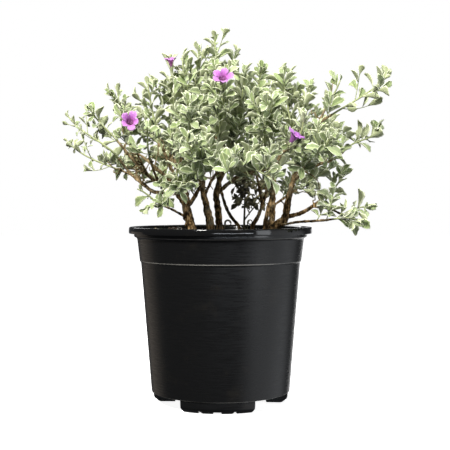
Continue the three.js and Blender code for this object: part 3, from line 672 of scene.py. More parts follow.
def makeLeafFelt():
    f = leafFinish
    m = Finish("leafFelt")
    tone = m.attribute("leafToneAndShade")
    down = m.noise(*f["down"])
    side = m.maths("ABSOLUTE", m.attribute("leafAcross"))
    # painted shade: leaves with a low tone take the dark shaded colour, besides their own random tone
    body = m.ramp(tone, ((0.0, f["shaded"]), (0.42, f["fresh"]), (1.0, f["grey"])))
    body = m.mix(m.fade(m.noise(*f["blotches"]), *f["blotchSpan"]), body, f["grey"])
    rib = m.maths("SUBTRACT", 1.0, m.fade(side, *f["ribSpan"]))
    body = m.mix(m.maths("MULTIPLY", rib, f["ribShare"]), body, f["rib"])
    body = m.mix(m.maths("MULTIPLY", m.attribute("leafUnder"), f["underShare"]), body, f["under"])
    # painted highlight: the leaf's rim and tip are painted pale, more on lighter leaves, as if the felted
    # edge catches light
    atTip = m.fade(m.attribute("leafAlong"), *f["tipSpan"])
    edge = m.maths("MAXIMUM", m.fade(side, *f["sideSpan"]), atTip)
    body = m.mix(m.maths("MULTIPLY", edge, m.fade(tone, *f["rimHighlightShares"])), body, f["paleFeltAndHighlight"])
    body = m.mix(m.fade(down, *f["downSpan"]), body, f["paleFeltAndHighlight"])
    return m.finished(body, f["roughness"], (down, *f["relief"]), {
        "Specular IOR Level": f["specular"], "Sheen Weight": f["sheen"],
        "Sheen Roughness": f["sheenRoughness"],
    })


petalFinish = {
    "stops": ((0.0, (0.34, 0.16, 0.26)), (0.28, (0.17, 0.02, 0.13)), (0.46, (0.46, 0.12, 0.44)),
              (0.68, (0.46, 0.15, 0.51)), (1.0, (0.52, 0.25, 0.60))),
    "veins": 32.0, "veinSpan": (0.0, 0.5), "veinShare": 0.35, "vein": (0.42, 0.10, 0.46),
    "mottle": (420, 3, 0.6), "paleSpan": (0.4, 0.8, 0, 0.4), "pale": (0.66, 0.37, 0.76),
    # deep is a painted shade colour, laid over a whole bloom to darken it
    "deep": (0.27, 0.07, 0.38), "roughness": 0.62, "sheen": 0.2, "relief": (0.3, 0.0003),
    "glow": 0.2, "glowReach": (1.0, 0.6, 1.0), "glowDepth": 0.0012,
}


def makePetal():
    f = petalFinish
    m = Finish("petal")
    mottle = m.noise(*f["mottle"])
    body = m.ramp(m.attribute("petalOut"), f["stops"])
    wave = m.maths("SINE", m.maths("MULTIPLY", m.attribute("petalTurn"), f["veins"]))
    between = m.fade(m.maths("ABSOLUTE", wave), *f["veinSpan"])
    veins = m.maths("MULTIPLY", m.maths("SUBTRACT", 1.0, between), f["veinShare"])
    body = m.mix(veins, body, f["vein"])
    body = m.mix(m.fade(mottle, *f["paleSpan"]), body, f["pale"])
    # painted shade: a bloom's petals are darkened by its own amount
    body = m.mix(m.attribute("petalShade"), body, f["deep"])
    return m.finished(body, f["roughness"], (mottle, *f["relief"]), {
        "Sheen Weight": f["sheen"], "Subsurface Weight": f["glow"], "Subsurface Radius": f["glowReach"],
        "Subsurface Scale": f["glowDepth"],
    })


plainFinishes = {  # colours over a noise, its grain, the bumps' own noise if any, roughness and relief
    "soilMix": {
        "stops": ((0.3, (0.006, 0.004, 0.003)), (0.52, (0.028, 0.018, 0.012)),
                  (0.74, (0.085, 0.056, 0.036))),
        "grain": (240, 6, 0.7), "bumps": (420, 6, 0.7), "roughness": 0.95, "relief": (0.9, 0.0012),
    },
    "youngTwig": {
        "stops": ((0.3, (0.21, 0.15, 0.075)), (0.5, (0.40, 0.35, 0.19)), (0.7, (0.58, 0.56, 0.36))),
        "grain": (130, 4, 0.6), "bumps": (900, 3), "roughness": 0.8, "relief": (0.4, 0.0003),
    },
    "barkChip": {
        "stops": ((0.3, (0.018, 0.011, 0.007)), (0.6, (0.10, 0.06, 0.034)), (0.8, (0.2, 0.13, 0.08))),
        "grain": (300, 4, 0.6), "roughness": 0.9, "relief": (0.6, 0.0006),
    },
    "perlite": {
        "stops": ((0.3, (0.55, 0.54, 0.5)), (0.7, (0.86, 0.85, 0.82))),
        "grain": (500, 4, 0.6), "roughness": 0.9, "relief": (0.6, 0.0004),
    },
    "tanLeaf": {
        "stops": ((0.3, (0.16, 0.12, 0.06)), (0.5, (0.38, 0.32, 0.18)), (0.7, (0.64, 0.57, 0.37))),
        "grain": (180, 4, 0.6), "roughness": 0.85, "relief": (0.6, 0.0004),
    },
    "driedLeaf": {
        "stops": ((0.3, (0.022, 0.022, 0.010)), (0.5, (0.075, 0.070, 0.033)), (0.7, (0.20, 0.175, 0.09))),
        "grain": (160, 4, 0.6), "roughness": 0.85, "relief": (0.6, 0.0004),
    },
    "anther": {
        "stops": ((0.3, (0.75, 0.62, 0.35)), (0.7, (0.9, 0.82, 0.6))),
        "grain": (800, 4, 0.6), "roughness": 0.7, "relief": (0.6, 0.0002),
    },
}


def makePlain(name, plan):
    m = Finish(name)
    colour = m.ramp(m.noise(*plan["grain"]), plan["stops"])
    bumps = m.noise(*plan.get("bumps", plan["grain"]))
    return m.finished(colour, plan["roughness"], (bumps, *plan["relief"]))


finishes = {name: makePlain(name, plan) for name, plan in plainFinishes.items()}
finishes.update(potPlastic=makePotPlastic(), bark=makeBark(), leafFelt=makeLeafFelt(), petal=makePetal())
print("materials made")


# The nursery pot.
def turned(name, profile, steps):
    # a profile of (radius, height) in millimetres turned about the pot's axis
    bm = bmesh.new()
    spots = [bm.verts.new((r * mm, 0, z * mm)) for r, z in profile]
    lines = [bm.edges.new(pair) for pair in zip(spots, spots[1:])]
    bmesh.ops.spin(bm, geom=spots + lines, cent=(0, 0, 0), axis=(0, 0, 1), angle=math.tau, steps=steps,
                   use_merge=True, use_duplicate=False)
    return sealed(bm, name)


def eased(profile):
    # a profile of (radius, height, easing), with its eased corners as small arcs
    run = []
    for i, (*corner, size) in enumerate(profile):
        if not size:
            run.append(corner)
            continue
        here = array(corner)
        a = here + unit(array(profile[i - 1][:2]) - here) * size
        b = here + unit(array(profile[i + 1][:2]) - here) * size
        for k in range(5):
            t = k / 4
            run.append(a * (1 - t) ** 2 + here * (2 * t * (1 - t)) + b * t ** 2)
    return run


def pushed(name, corners, push, turn):
    # a flat outline pushed along a way, then turned about the pot's axis
    bm = bmesh.new()
    face = bm.faces.new([bm.verts.new([c * mm for c in corner]) for corner in corners])
    ends = onlyVerts(bmesh.ops.extrude_face_region(bm, geom=[face])["geom"])
    bmesh.ops.translate(bm, verts=ends, vec=[c * mm for c in push])
    bmesh.ops.rotate(bm, verts=bm.verts[:], cent=(0, 0, 0), matrix=Matrix.Rotation(turn, 3, "Z"))
    return sealed(bm, name)


def drain(radius, circle, turn):
    bm = bmesh.new()
    bmesh.ops.create_cone(bm, cap_ends=True, segments=32, radius1=radius * mm, radius2=radius * mm,
                          depth=pot["drainDepth"] * mm)
    place = Vector((circle * math.sin(turn), -circle * math.cos(turn), pot["heelHeight"])) * mm
    bmesh.ops.translate(bm, verts=bm.verts[:], vec=place)
    return closed(bm, "drain")


def potProfile():
    p = pot
    underLip = p["height"] - p["lipHeight"]
    inLip = p["lipRadius"] - p["lipWall"]
    base = p["heelRadius"] - p["setBack"]
    inside = p["heelHeight"] + p["floorWall"]
    return [  # radius, height and easing of each corner, up the outside and down the inside
        (0, p["heelHeight"], 0),
        (p["footInner"], p["heelHeight"], 0),
        (p["footInner"] + 1, 0, 0),
        (p["footFlat"], 0, 2.5),
        (base - p["footDraft"], p["footChamfer"], 2),
        (base, p["heelHeight"], 0),
        (p["heelRadius"], p["heelHeight"], 1),
        (p["stepBelow"], p["stepHeight"] - p["stepSlope"], 0.7),
        (p["stepAbove"], p["stepHeight"], 0.7),
        (p["bandRadius"], p["height"] - p["bandDrop"], 2),
        (p["neckRadius"], underLip - p["neckHeight"], 1.2),
        (p["neckRadius"], p["height"] - p["lipWall"], 0),
        (inLip, p["height"] - p["lipWall"], 0),
        (inLip, underLip, 0),
        (p["lipRadius"] - p["lipBarrel"], underLip, 0.4),
        (p["lipRadius"], underLip + p["lipHeight"] * 0.38, 2.6),
        (p["lipRadius"] - p["lipBarrel"] * 1.6, p["height"], 1.4),
        (p["neckRadius"] - p["wall"], p["height"], 2.4),
        (p["bandRadius"] - p["wall"], p["height"] - p["bandDrop"], 0),
        (p["stepBelow"] - p["wall"], p["stepHeight"] - p["stepSlope"], 0),
        (p["heelRadius"] - p["wall"] - p["footDraft"], inside, 0),
        (0, inside, 0),
    ]


def makeNurseryPot():
    p = pot
    outer, inner = p["heelRadius"] + p["cutRoom"], p["footInner"] - p["cutRoom"]
    low = -1  # the cutters start this far under the floor
    share = math.tau / p["feet"]
    gapHalf = share / 2 - math.radians(p["footHalf"])
    wide = outer / math.cos(gapHalf) * math.sin(gapHalf)
    gap = [(0, 0, low), (-wide, -outer, low), (wide, -outer, low)]
    half, slope = p["midWidth"] / 2, p["midSlope"]
    mid = [(-half, low), (half, low), (half - slope, p["midHeight"]), (slope - half, p["midHeight"])]
    reach = p["notchWidth"] / 2 * (1 + 1 / p["notchHeight"])
    notch = [(-reach, low), (reach, low), (0, p["notchHeight"])]

    def throughFoot(outline, turn):
        return pushed("notch", [(x, -inner, z) for x, z in outline], (0, -(outer - inner), 0), turn)

    cutters = []
    for i in range(p["feet"]):
        middle = math.radians(p["footTurn"]) + share * i
        between = middle + share / 2
        cutters.append(pushed("gap", gap, (0, 0, p["heelHeight"] - low), between))
        cutters.append(throughFoot(mid, middle))
        for side in (-1, 1):
            cutters.append(throughFoot(notch, middle + side * math.radians(p["notchHalf"])))
            holeTurn = between + side * math.radians(p["drainHalf"])
            cutters.append(drain(p["drainRadius"], p["drainCircle"], holeTurn))
    cutters.append(drain(p["drainMiddle"], 0, 0))
    body = turned("nurseryPot", eased(potProfile()), p["turnSteps"])
    mesh = joined("nurseryPot", [body], cutters)
    smoothShade(mesh, p["sharp"])
    return newPiece("nurseryPot", mesh, ["potPlastic"], "pot", "pot")


nurseryPot = makeNurseryPot()
print("pot made:", len(nurseryPot.data.polygons), "faces")

# The soil and what lies on it.
soilBed = {
    "clearance": 0.4, "drop": 13, "rise": 2.5, "flat": 66, "waves": 1.2, "waveX": 0.11, "waveY": 0.09,
    "waveEdge": 12, "rings": 34, "turnSteps": 144, "lumps": 1.1, "lumpSize": 9, "lumpEdge": 4,
    "heap": (-64, 62), "heapHeight": 11, "heapSpread": 20, "heapTop": 13,
}
loose = {  # the count, how many of them on the heap, room to the wall, and height over the soil
    "barkChips": {"count": 420, "onHeap": 30, "seed": 4211, "room": 6, "lift": 0},
    "perliteGrains": {"count": 150, "onHeap": 16, "seed": 4212, "room": 6, "lift": 0},
    "fallenLeaves": {"count": 34, "onHeap": 0, "seed": 4213, "room": 14, "lift": 1.6},
}
chipForm = {"sizes": ((2.5, 9), (1.6, 4.2), (0.8, 2.2)), "rough": (0.7, 1.15), "tilt": 0.55}
grainForm = {"radius": (0.8, 2.1), "rough": (0.75, 1.15), "raised": 0.4}
fallenForm = {"length": (9, 16), "width": 0.25, "tilt": 0.5}
soilEdge = pot["height"] - soilBed["drop"] - soilBed["rise"]
soilRim = pot["bandRadius"] - pot["wall"] - soilBed["clearance"]


def soilTop(x, y):
    # the height of the soil's top at a place, in millimetres
    s = soilBed
    inward = soilRim - math.hypot(x, y)
    crown = s["rise"] * min(1, max(0, inward / (soilRim - s["flat"])))
    wave = s["waves"] * math.sin(x * s["waveX"] + 1) * math.cos(y * s["waveY"])
    spot = Vector((x, y, 0)) / s["lumpSize"]
    lump = s["lumps"] * (noise.noise(spot) + 0.6 * noise.noise(spot * 2.7))
    gap = math.hypot(x - s["heap"][0], y - s["heap"][1]) / s["heapSpread"]
    heap = s["heapHeight"] * math.exp(-gap * gap)
    waves = (wave + heap) * min(1, inward / s["waveEdge"])
    return soilEdge + crown + waves + lump * min(1, inward / s["lumpEdge"])


def makeSoilBed():
    s, p = soilBed, pot
    inset = p["wall"] + s["clearance"]
    bottom = p["heelHeight"] + p["floorWall"] + s["clearance"]
    profile = [(0, bottom), (p["heelRadius"] - inset - 0.8, bottom),
               (p["stepBelow"] - inset, p["stepHeight"] - p["stepSlope"])]
    profile += [(soilRim * (1 - i / s["rings"]), soilEdge) for i in range(s["rings"] + 1)]
    mesh = turned("soilBed", profile, s["turnSteps"])
    bm = opened(mesh)
    for v in bm.verts:
        if v.co.z > (soilEdge - 0.5) * mm:
            v.co.z = soilTop(v.co.x / mm, v.co.y / mm) * mm
    smoothShade(closed(bm, mesh))
    return newPiece("soilBed", mesh, ["soilMix"], "soil", "soil")


def scatter(name, makeOne, finish, slotName, angle=None):
    # small loose pieces on the soil, clear of the wall
    plan = loose[name]
    dice = Dice(plan["seed"])
    bm = bmesh.new()
    for i in range(plan["count"]):
        out = math.sqrt(dice.next()) * (pot["bandRadius"] - pot["wall"] - plan["room"])
        turn = dice.between(0, math.tau)
        x, y = out * math.cos(turn), out * math.sin(turn)
        if i < plan["onHeap"]:
            x, y = (at + dice.between(-1, 1) * soilBed["heapTop"] for at in soilBed["heap"])
        makeOne(bm, Vector((x, y, soilTop(x, y) + plan["lift"])) * mm, dice)
    mesh = closed(bm, name)
    smoothShade(mesh, angle)
    return newPiece(name, mesh, [finish], slotName)


def looseTurn(dice, tilt):
    flat = Matrix.Rotation(dice.between(0, math.tau), 4, "Z")
    tipped = Matrix.Rotation(dice.between(-tilt, tilt), 4, "X")
    return flat @ tipped @ Matrix.Rotation(dice.between(-tilt, tilt), 4, "Y")


def oneChip(bm, place, dice):
    size = Vector([dice.between(*sizes) for sizes in chipForm["sizes"]]) * mm
    made = bmesh.ops.create_cube(bm, size=1)["verts"]
    for v in made:
        v.co *= dice.between(*chipForm["rough"])
    shape = Matrix.Translation(place) @ looseTurn(dice, chipForm["tilt"]) @ Matrix.Diagonal((*size, 1))
    bmesh.ops.transform(bm, matrix=shape, verts=made)


def oneGrain(bm, place, dice):
    size = dice.between(*grainForm["radius"]) * mm
    made = bmesh.ops.create_icosphere(bm, subdivisions=1, radius=size)["verts"]
    for v in made:
        v.co *= dice.between(*grainForm["rough"])
    raised = place + Vector((0, 0, size * grainForm["raised"]))
    bmesh.ops.transform(bm, matrix=Matrix.Translation(raised), verts=made)


def oneFallen(bm, place, dice):
    blade = anyLeaf(dice)
    long = dice.between(*fallenForm["length"]) * mm
    size = Matrix.Diagonal((long * fallenForm["width"], long, long, 1))
    addCopy(bm, blade, Matrix.Translation(place) @ looseTurn(dice, fallenForm["tilt"]) @ size)


makeSoilBed()
scatter("barkChips", oneChip, "barkChip", "soil", 40)
scatter("perliteGrains", oneGrain, "perlite", "soil", 40)
print("soil made")

# The woody stems.
woodRelief = {
    "step": 1.6, "lump": 0.26, "lumpSize": 5, "ridge": 0.3, "ridgeSize": 2.2, "ridgeLong": 0.35,
    "flare": 0.28, "flareHeight": 9, "stemSides": 4, "limbSides": 2,
}
bareTwigs = {
    "each": 2, "many": {"left_high": 11, "left_fork": 11, "left_back": 9, "left_bloom": 8, "left_leader": 6},
    "tan": 0.7, "share": 0.75, "from": (0.3, 0.98), "low": 238, "radii": (1.0, 0.9, 0.8, 0.65, 0.5),
    "length": (12, 34), "spread": (25, 85), "crook": 2.6, "rise": (-0.2, 0.6), "seed": 313,
}


def hangs(limb):
    return limb.get("rise", 0) < 0


def barkTube(name, part, roundness, flare):
    w = woodRelief
    places, radii = [], []
    for place, share in throughRoute(part["route"], w["step"]):
        above = max(place[2] - (pot["height"] - soilBed["drop"]), 0)
        places.append(place)
        radii.append(tapered(part["girth"], share) * (1 + flare * math.exp(-above / w["flareHeight"])))
    mesh = tubes(name, [tubeRun(places, radii)], roundness)
    bm = opened(mesh)
    bm.normal_update()
    for v in bm.verts:
        spot = v.co / mm
        lump = noise.noise(spot / w["lumpSize"]) * w["lump"]
        ridge = noise.noise(Vector((spot.x, spot.y, spot.z * w["ridgeLong"])) / w["ridgeSize"]) * w["ridge"]
        v.co += v.normal * ((lump + ridge) * (sum(part["girth"]) / 2) * mm)
    return closed(bm, mesh)


def makeBareTwig(route, dice):
    # a thin crooked leafless twig from somewhere along a limb, or none where that is low
    b = bareTwigs
    root, ahead = onRun(throughRoute(route, 4), dice.between(*b["from"]))
    if root[2] < b["low"]:
        return None
    way = leaning(ahead, math.radians(dice.between(*b["spread"])), dice.between(0, math.tau))
    path = arched(root, way, dice.between(*b["length"]), dice.between(*b["rise"]))
    last = len(b["radii"]) - 1
    places = []
    for i in range(last + 1):
        crook = array([dice.between(-1, 1) for _ in range(3)]) * (b["crook"] if i else 0)
        places.append(path(i / last) + crook)
    mesh = tubes("bareTwig", [tubeRun(places, b["radii"])], 1)
    if dice.next() < b["tan"]:
        for face in mesh.polygons:
            face.material_index = 1
    return mesh


def makeStem(nodeName, stem, dice):
    parts = [barkTube(nodeName, stem, woodRelief["stemSides"], woodRelief["flare"])]
    for name, limb in stem["limbs"].items():
        parts.append(barkTube(name, limb, woodRelief["limbSides"], 0))
        for _ in range(bareTwigs["many"].get(name, bareTwigs["each"])):
            twig = makeBareTwig(limb["route"], dice)
            if twig and dice.next() < bareTwigs["share"] and not hangs(limb):
                parts.append(twig)
    mesh = joined(nodeName + "Wood", parts)
    smoothShade(mesh)
    newPiece(nodeName + "Wood", mesh, ["bark", "youngTwig"], "wood", nodeName)


twigDice = Dice(bareTwigs["seed"])
for name, stem in stems.items():
    makeStem(name, stem, twigDice)
print("stems made")

# The leaves.
leafForm = {
    "stations": (0.0, 0.17, 0.41, 0.67, 0.88, 1.0), "halfWidths": (0.08, 0.28, 0.74, 1.0, 0.88, 0.44),
    "tipRound": (0, 0, 0.01, 0.02, 0.05, 0.11), "thickness": 0.022,
    "variants": (
        {"cup": 0.09, "bend": 0.12, "fold": 0.06, "sweep": 0.03, "wave": 0.02, "twist": 0.25},
        {"cup": 0.13, "bend": 0.24, "fold": 0.03, "sweep": -0.06, "wave": 0.03, "twist": -0.4},
        {"cup": 0.05, "bend": 0.05, "fold": 0.12, "sweep": 0.0, "wave": 0.025, "twist": 0.0},
        {"cup": 0.16, "bend": 0.36, "fold": 0.02, "sweep": 0.06, "wave": 0.035, "twist": 0.5},
        {"cup": 0.10, "bend": 0.16, "fold": 0.08, "sweep": -0.03, "wave": -0.03, "twist": -0.2},
    ),
}


def makeLeafMesh(index, form):
    # one blade of unit length on +Y from its root, half a unit wide each side, top face up
    f = leafForm
    bm = bmesh.new()
    across = bm.verts.layers.float.new("leafAcross")
    along = bm.verts.layers.float.new("leafAlong")
    under = bm.faces.layers.float.new("leafUnder")
    bm.faces.layers.float.new("leafToneAndShade")
    bmesh.ops.create_grid(bm, x_segments=4, y_segments=5, size=0.5)
    for v in bm.verts:
        u = v.co.x * 2
        row = round((v.co.y + 0.5) * 5)
        part = f["stations"][row] - f["tipRound"][row] * u * u
        v[across], v[along] = u, f["stations"][row]
        width = f["halfWidths"][row]
        lift = form["cup"] * u * u * width - form["bend"] * part * part + form["fold"] * abs(u) * width
        lift += form["wave"] * math.sin(part * 9 + u * 2) * abs(u)
        x = u * width * 0.5
        cos, sin = math.cos(form["twist"] * part), math.sin(form["twist"] * part)
        v.co = ((x * cos - lift * sin) * 2 + form["sweep"] * part * part * 4, part, x * sin + lift * cos)
    bmesh.ops.recalc_face_normals(bm, faces=bm.faces[:])
    if sum(face.normal.z for face in bm.faces) < 0:
        bmesh.ops.reverse_faces(bm, faces=bm.faces[:])
    thickened(bm, f["thickness"])
    for face in bm.faces:
        face[under] = 1.0 if face.normal.z < -0.3 else 0.0
        face.smooth = True
    return closed(bm, f"leaf{index}")


leafMeshes = [makeLeafMesh(i, form) for i, form in enumerate(leafForm["variants"])]


def anyLeaf(dice):
    return leafMeshes[int(dice.next() * len(leafMeshes))]


def leafyStart():  # nothing yet, but with the leaves' attributes
    bm = opened(leafMeshes[0])
    bmesh.ops.delete(bm, geom=bm.verts[:], context="VERTS")
    return bm


def leafMatrix(plan):
    # a leaf's place, turn and size as a matrix, and its tip in millimetres
    along = unit(leaning(plan["stalk"], plan["spread"], plan["turn"]))
    along = unit(along + plan.get("stray", 0))
    square = Vector(unit(np.cross(along, plan["stalk"])))
    along = Vector(along)
    square.rotate(Matrix.Rotation(plan["roll"], 3, along))
    root, long = Vector(plan["root"]), along * plan["length"]
    half = plan["length"] * plan["width"] / 2
    columns = (square * half, long, square.cross(along) * plan["length"], root)
    matrix = Matrix([[column[r] for column in columns] for r in range(3)] + [[0, 0, 0, 1]])
    return Matrix.Scale(mm, 4) @ matrix, np.array(root + long)


# The leafy sprays.
foliage = {
    "axilShare": 0.6, "axilLength": (0.42, 0.72), "axilSpread": (28, 62), "axilTurn": 0.9, "axilRoll": 0.8,
    # painted shade: the tone and innerShadeFrom values below make leaves nearer a limb's base darker
    "axilTone": 0.1, "baseRun": 1.4, "tone": 0.5, "innerShadeFrom": 0.6, "toneSpread": 0.5,
    "slimness": 0.85, "lift": 0.3, "stray": 0.22, "rollStray": 0.35, "tries": 5, "shrink": 0.8,
    "shootStarts": (0.42, 0.58, 0.74, 0.9), "innerStarts": (0.06, 0.2, 0.34, 0.5), "innerLeast": 60,
    "boxGap": 0.0026, "rimClear": 5, "rimReach": 6, "bloomRoom": 11.5, "bloomSight": (-4, 60), "mouth": 0.6,
    "openAcross": (-12, 66), "openUp": (225, 311), "openFront": 60, "openKept": 0.06,
    "drySize": 0.62, "dryDroop": 0.9, "dryTo": 0.8,
}
shoots = {
    "length": (15, 26), "spread": 58, "rise": 0.5, "pitch": 3.6, "extra": 3, "lastRoot": 0.98, "run": 0.7,
    "upright": 18, "open": 40, "opening": 3, "vary": (-8, 8), "young": 0.62, "growing": 0.12,
    # painted shade: the shoots' leaves get a darker tone, as shade inside the crown
    "lengths": (0.72, 1.0), "widths": (0.9, 1.15), "roll": 0.5, "tone": -0.16,
    "radii": (0.7, 0.62, 0.54, 0.46, 0.38),
}
twigForm = {
    "main": {"steps": 10, "from": -0.03, "taper": 1},  # it starts inside the limb's end
    "side": {"steps": 7, "from": 0, "taper": 0.72},
}
usualHabit = {
    "kept": 1.0, "size": 1.05, "shoots": 4, "base": 0.72, "dry": 0.04, "low": 262, "high": math.inf,
}
habits = {  # how sprays differ: the leaves kept, all and at the base, dried ones, and where shoots may grow
    "left_high": {"kept": 0.6, "size": 0.78, "shoots": 0, "dry": 0.6, "base": 0.1},
    "left_low": {"kept": 0.68, "size": 0.7, "shoots": 0, "dry": 0.3, "base": 0.3},
    "left_fork": {"kept": 0.85, "size": 0.95, "shoots": 0, "dry": 0.4, "base": 0.3},
    "left_back": {"kept": 0.9, "size": 1.0, "shoots": 0, "dry": 0.35, "base": 0.45},
    "left_bloom": {"kept": 0.75, "size": 1.0, "shoots": 0, "dry": 0.4, "base": 0.3},
    "left_hanging": {"size": 0.9, "shoots": 2, "low": 238, "high": 273},
    "left_front": {"kept": 0.46, "size": 0.92, "shoots": 0},
    "left_front_low": {"kept": 0.8, "size": 0.98, "shoots": 2},
    "left_leader": {"kept": 0.8, "size": 1.0, "shoots": 1},
    "left_top": {"kept": 0.74, "size": 0.98, "shoots": 1},
    "centre_left_top": {"kept": 0.74, "size": 1.04, "shoots": 2},
    "top": {"kept": 0.74, "size": 1.04, "shoots": 2},
    "top_left_rear": {"kept": 0.7, "size": 1.02, "shoots": 2},
    "centre_right_top": {"kept": 0.92, "size": 1.08},
    "top_right_rear": {"size": 1.08},
    "right_top": {"size": 1.12, "shoots": 3},
    "right_shoulder": {"kept": 0.76, "size": 0.96, "shoots": 1},
    "right_bloom": {"kept": 0.76, "size": 0.96, "shoots": 1},
    "upper_right": {"kept": 0.55, "size": 1.12, "shoots": 1},
    "upper_right_shoot": {"kept": 0.7, "size": 1.1, "shoots": 0},
    "right_middle": {"kept": 0.95, "size": 1.1},
    "right_low_fork": {"kept": 0.7, "size": 1.0, "shoots": 0, "base": 0.5},
    "right_low": {"size": 1.1, "shoots": 0},
    "right_lowest": {"size": 1.25, "shoots": 2, "low": 225},
    "right_fill": {"kept": 0.75, "size": 0.98, "shoots": 1},
}
# a bloom's darkness here is painted shade
bloomPoses = {  # how a bloom hangs in the scene: the way it faces, its stretch, its shift and its darkness
    "bloom_left": {"shift": (-2, 0, 0)},
    "bloom_left_top": {"aim": (-0.12, -0.22, 1), "stretch": 1.45, "shift": (1.5, 0, -1)},
    "bloom_middle": {"shift": (0, 0, -4)},
    "bloom_rear_left": {"shift": (8, 8, -24)},
    # bloom_right is painted half into shade
    "bloom_right": {"aim": (0.5, -0.3, 0.78), "stretch": 1.25, "shift": (-2, 0, -3), "deep": 0.5},
}
calyxForm = {
    "length": 5, "base": 1.0, "mouth": 2.2, "stalk": 0.8, "bend": 5, "sepals": 5, "sepalLength": 6.5,
    "sepalWidth": 0.34, "sepalSpread": 26, "sepalRoot": (1.5, 1.2), "tone": 0.1,
}
eye = array((0, -1310, 265))  # the camera's place
toViewer = array((0, -1, 0))


def bloomPose(bloom):
    pose = {"aim": bloom["aim"], "shift": (0, 0, 0), "stretch": 1, "deep": 0}
    pose.update(bloomPoses.get(bloom["name"], {}))
    base = array(bloom["base"]) + array(pose["shift"])
    return base, unit(array(pose["aim"])), pose["stretch"], pose["deep"]


bloomPlaces = [(*bloomPose(bloom)[:2], bloom["size"]) for bloom in blooms.values()]


def inBox(place):
    gap = foliage["boxGap"]
    return all(low + gap < at * mm < high - gap for low, at, high in zip(cadBounds[0], place, cadBounds[1]))


def fillsOpening(place):
    # whether a place lies where the photo looks in between the stems, under the front leaves
    f = foliage
    nearer = eye[1] / (eye[1] - place[1])
    across, high = place[0] * nearer, eye[2] + (place[2] - eye[2]) * nearer
    seen = f["openAcross"][0] < across < f["openAcross"][1] and f["openUp"][0] < high < f["openUp"][1]
    return seen and place[1] < f["openFront"]


def hidesBloom(plan, tip):
    # whether a leaf lies in a bloom, in its mouth, or on the way from it to the photo's side
    points = [plan["root"] * (1 - t) + tip * t for t in (0.35, 0.7, 1)]
    behind, sight = foliage["bloomSight"]
    for base, aim, size in bloomPlaces:
        middle = base + aim * bloomShape["depth"] * foliage["mouth"] * size
        room = foliage["bloomRoom"] * size ** 0.5
        for point in points:
            for way in (aim, toViewer):
                ahead = float(np.dot(point - middle, way))
                aside = np.linalg.norm(point - middle - way * ahead)
                if behind < ahead < sight and aside < room:
                    return True
    return False


def overRim(tip):
    return tip[2] < pot["height"] + foliage["rimClear"] and \
        math.hypot(tip[0], tip[1]) < pot["lipRadius"] + foliage["rimReach"]


def addLeaf(bm, plan, dice, finish=0):
    for _ in range(foliage["tries"]):  # a leaf that would pass the solids' box stays smaller
        matrix, tip = leafMatrix(plan)
        if inBox(tip):
            break
        plan["length"] *= foliage["shrink"]
    else:
        return
    if overRim(tip) or not plan.get("nearBloom") and hidesBloom(plan, tip):
        return
    faces = addCopy(bm, anyLeaf(dice), matrix)
    toneAndShadeLayer = bm.faces.layers.float["leafToneAndShade"]
    spread = foliage["toneSpread"]
    tone = min(1, max(0, 0.5 + dice.between(-spread, spread) + plan.get("tone", 0)))
    for face in faces:
        face[toneAndShadeLayer] = tone
        face.material_index = finish


def strayed(plan, spray, tone):
    # a planned leaf of a spray's own size, a little off its place
    f, extra = foliage, spray["extra"]
    plan["tone"] = tone
    plan["stray"] = up * spray["lift"] + array([extra.between(-f["stray"], f["stray"]) for _ in range(3)])
    plan["roll"] += extra.between(-f["rollStray"], f["rollStray"])
    plan["width"] *= f["slimness"]
    plan["length"] *= spray["size"]
    return plan


def twigLeaves(spray, twigs, dice):
    # the leaves that the solids draw, less the ones left out, and small ones in their axils
    f, extra = foliage, spray["extra"]
    plans = []
    for plan in [plan for twig in twigs for plan in planLeaves(twig, dice)]:
        outer = min(1, spray["base"] + plan["at"] * (1 - spray["base"]) * f["baseRun"])
        if extra.next() > spray["kept"] * outer:
            continue
        # painted shade: leaves nearer the limb's base get a darker tone
        tone = (plan["at"] - f["innerShadeFrom"]) * f["tone"]
        plans.append(strayed(dict(plan), spray, tone))
        if extra.next() > f["axilShare"] * spray["kept"]:
            continue
        small = dict(plan)
        small["turn"] += extra.between(-f["axilTurn"], f["axilTurn"])
        small["length"] *= extra.between(*f["axilLength"])
        small["spread"] = math.radians(extra.between(*f["axilSpread"]))
        small["roll"] = extra.between(-f["axilRoll"], f["axilRoll"])
        plans.append(strayed(small, spray, tone + f["axilTone"]))
    return plans


def twigRun(twig):
    form = twigForm[twig["form"]]
    shares = [i / form["steps"] for i in range(form["steps"] + 1)]
    ends = (twig["girth"][0], twig["girth"][1] * form["taper"])
    return tubeRun([twig["path"](form["from"] + (1 - form["from"]) * at) for at in shares],
                   [tapered(ends, at) for at in shares])


def shootStarts(spray, limb, mainTwig):
    # where short shoots grow, and the ways ahead: along the limb, and along its main twig if that is long
    limbRun = throughRoute(limb["route"], 4)
    first = len(foliage["shootStarts"]) - spray["shoots"]
    starts = [onRun(limbRun, at) for at in foliage["shootStarts"][first:]]
    if spray["shoots"] > 1 and mainTwig["length"] > foliage["innerLeast"]:
        path = mainTwig["path"]
        starts += [(path(at), unit(path(at + 0.05) - path(at))) for at in foliage["innerStarts"]]
    return [(root, ahead) for root, ahead in starts if root[2] >= spray["low"]]


